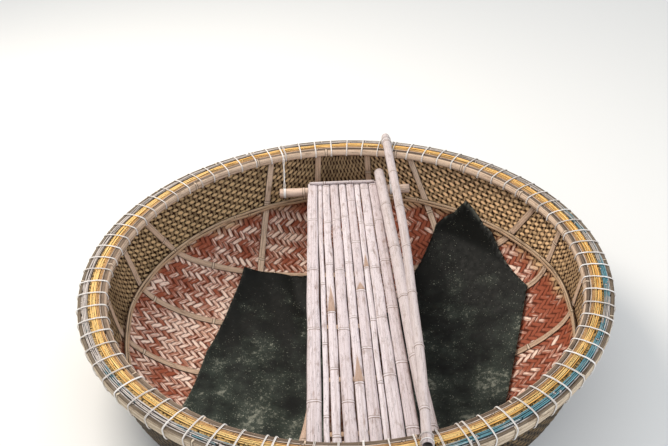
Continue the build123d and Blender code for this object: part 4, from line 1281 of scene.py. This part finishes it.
def dusty_rubber(name, black, grey, dust_colour):
    """Black rubber sheet gone grey: matt, with smears of dust, fine scuffs and pale specks."""
    material, tree, shader = new_material(name)
    place = add(tree, "TexCoord", {}, "Object")
    away = add(tree, "SeparateXYZ", {0: place}, 1)
    (edge,) = marks(tree, "edge")
    # Clouds of dust 140 mm across, scuffs 20 mm across, specks 5 mm across, more of them at the near end
    cloud = grains(tree, place, (140, 140, 140), 4.0, 0.6)
    scuff = grains(tree, place, (22, 22, 22), 5.0, 0.65)
    speck = grains(tree, place, (5, 5, 5), 1.0)
    colour = lay_over(tree, black, grey, total(tree, (cloud, 1), (away, -0.35)), 0.35, 0.75)
    smeared = total(tree, (cloud, 1), (scuff, 1.2), (away, -0.25))
    colour = lay_over(tree, colour, dust_colour, smeared, 1.22, 1.5, 0.5)
    speckled = total(tree, (speck, 1), (cloud, 0.3), (away, -0.06))
    colour = lay_over(tree, colour, dust_colour, speckled, 0.84, 0.91, 0.75)
    colour = lay_over(tree, colour, dust_colour, edge, 0.7, 1.0, 0.2)
    finish_surface(tree, shader, colour, scuff, 0.5, 0.7, 0.2)
    return material


rubber = dusty_rubber("dusty_black_rubber", "#0a0d0b", "#353d36", "#a8aa9b")
left = mat("left_mat_sheet", "floor_mat_left", LEFT_MAT, False, 41, rubber)
right = mat("right_mat_sheet", "floor_mat_right", RIGHT_MAT, True, 42, rubber)


# Floor, light and camera. A pale paper floor lies at the waterline, open inside the hull. A warm soft
# light from the far left and a weaker cool one from the near right stand for a bright sky. The camera
# was fitted to the rim's outer and inner circles in the photograph.
WATER_HOLE = 0.785
FLOOR_REACH = 60.0
FLOOR_SIDES = 128
circle = outward(np.linspace(0, 2 * math.pi, FLOOR_SIDES + 1)[:-1])
rings = np.concatenate([circle * WATER_HOLE, circle * FLOOR_REACH])
inner = np.arange(FLOOR_SIDES)
after = (inner + 1) % FLOOR_SIDES
faces = np.stack([inner, FLOOR_SIDES + inner, FLOOR_SIDES + after, after], axis=-1)
mesh = bpy.data.meshes.new("studio_floor")
mesh.from_pydata(rings.tolist(), [], faces.tolist())
floor = bpy.data.objects.new("studio_floor", mesh)
bpy.context.scene.collection.objects.link(floor)
floor_paper, tree, shader = new_material("floor_paper")
shader.inputs["Base Color"].default_value = linear("#e4e4e2")
shader.inputs["Roughness"].default_value = 0.9
mesh.materials.append(floor_paper)

world = bpy.data.worlds.new("studio")
bpy.context.scene.world = world
world.use_nodes = True
world.node_tree.nodes["Background"].inputs["Color"].default_value = linear("#eef1f4")
world.node_tree.nodes["Background"].inputs["Strength"].default_value = 0.9


def soft_light(name, place, target, size, watts, colour):
    lamp = bpy.data.lights.new(name, "AREA")
    lamp.shape = "DISK"
    lamp.size = size
    lamp.energy = watts
    lamp.color = linear(colour)[:3]
    light = bpy.data.objects.new(name, lamp)
    bpy.context.scene.collection.objects.link(light)
    light.location = place
    aim = np.array(target) - np.array(place)
    light.rotation_mode = "QUATERNION"
    light.rotation_quaternion = Vector(aim).to_track_quat("-Z", "Y")


soft_light("key", (-2.2, 1.6, 4.0), (0, 0, 0.2), 2.5, 190, "#fff4e6")
soft_light("fill", (2.6, -3.4, 2.6), (0, 0, 0.2), 3.0, 60, "#f2f6ff")

LENS_MM = 45.53
CAMERA_PLACE = (-0.053, -2.628, RIM_TOP + 1.912)
CAMERA_TARGET = (-0.030, 0.265, RIM_TOP)
CAMERA_ROLL = -2.04
lens = bpy.data.cameras.new("camera")
lens.lens = LENS_MM
camera = bpy.data.objects.new("camera", lens)
bpy.context.scene.collection.objects.link(camera)
bpy.context.scene.camera = camera
forward = (Vector(CAMERA_TARGET) - Vector(CAMERA_PLACE)).normalized()
level = forward.cross(Vector((0, 0, 1))).normalized()
up = level.cross(forward)
roll = math.radians(CAMERA_ROLL)
x_axis = level * math.cos(roll) + up * math.sin(roll)
y_axis = up * math.cos(roll) - level * math.sin(roll)
axes = Matrix((x_axis, y_axis, -forward)).transposed().to_4x4()
camera.matrix_world = Matrix.Translation(CAMERA_PLACE) @ axes
bpy.context.scene.view_settings.view_transform = "Standard"
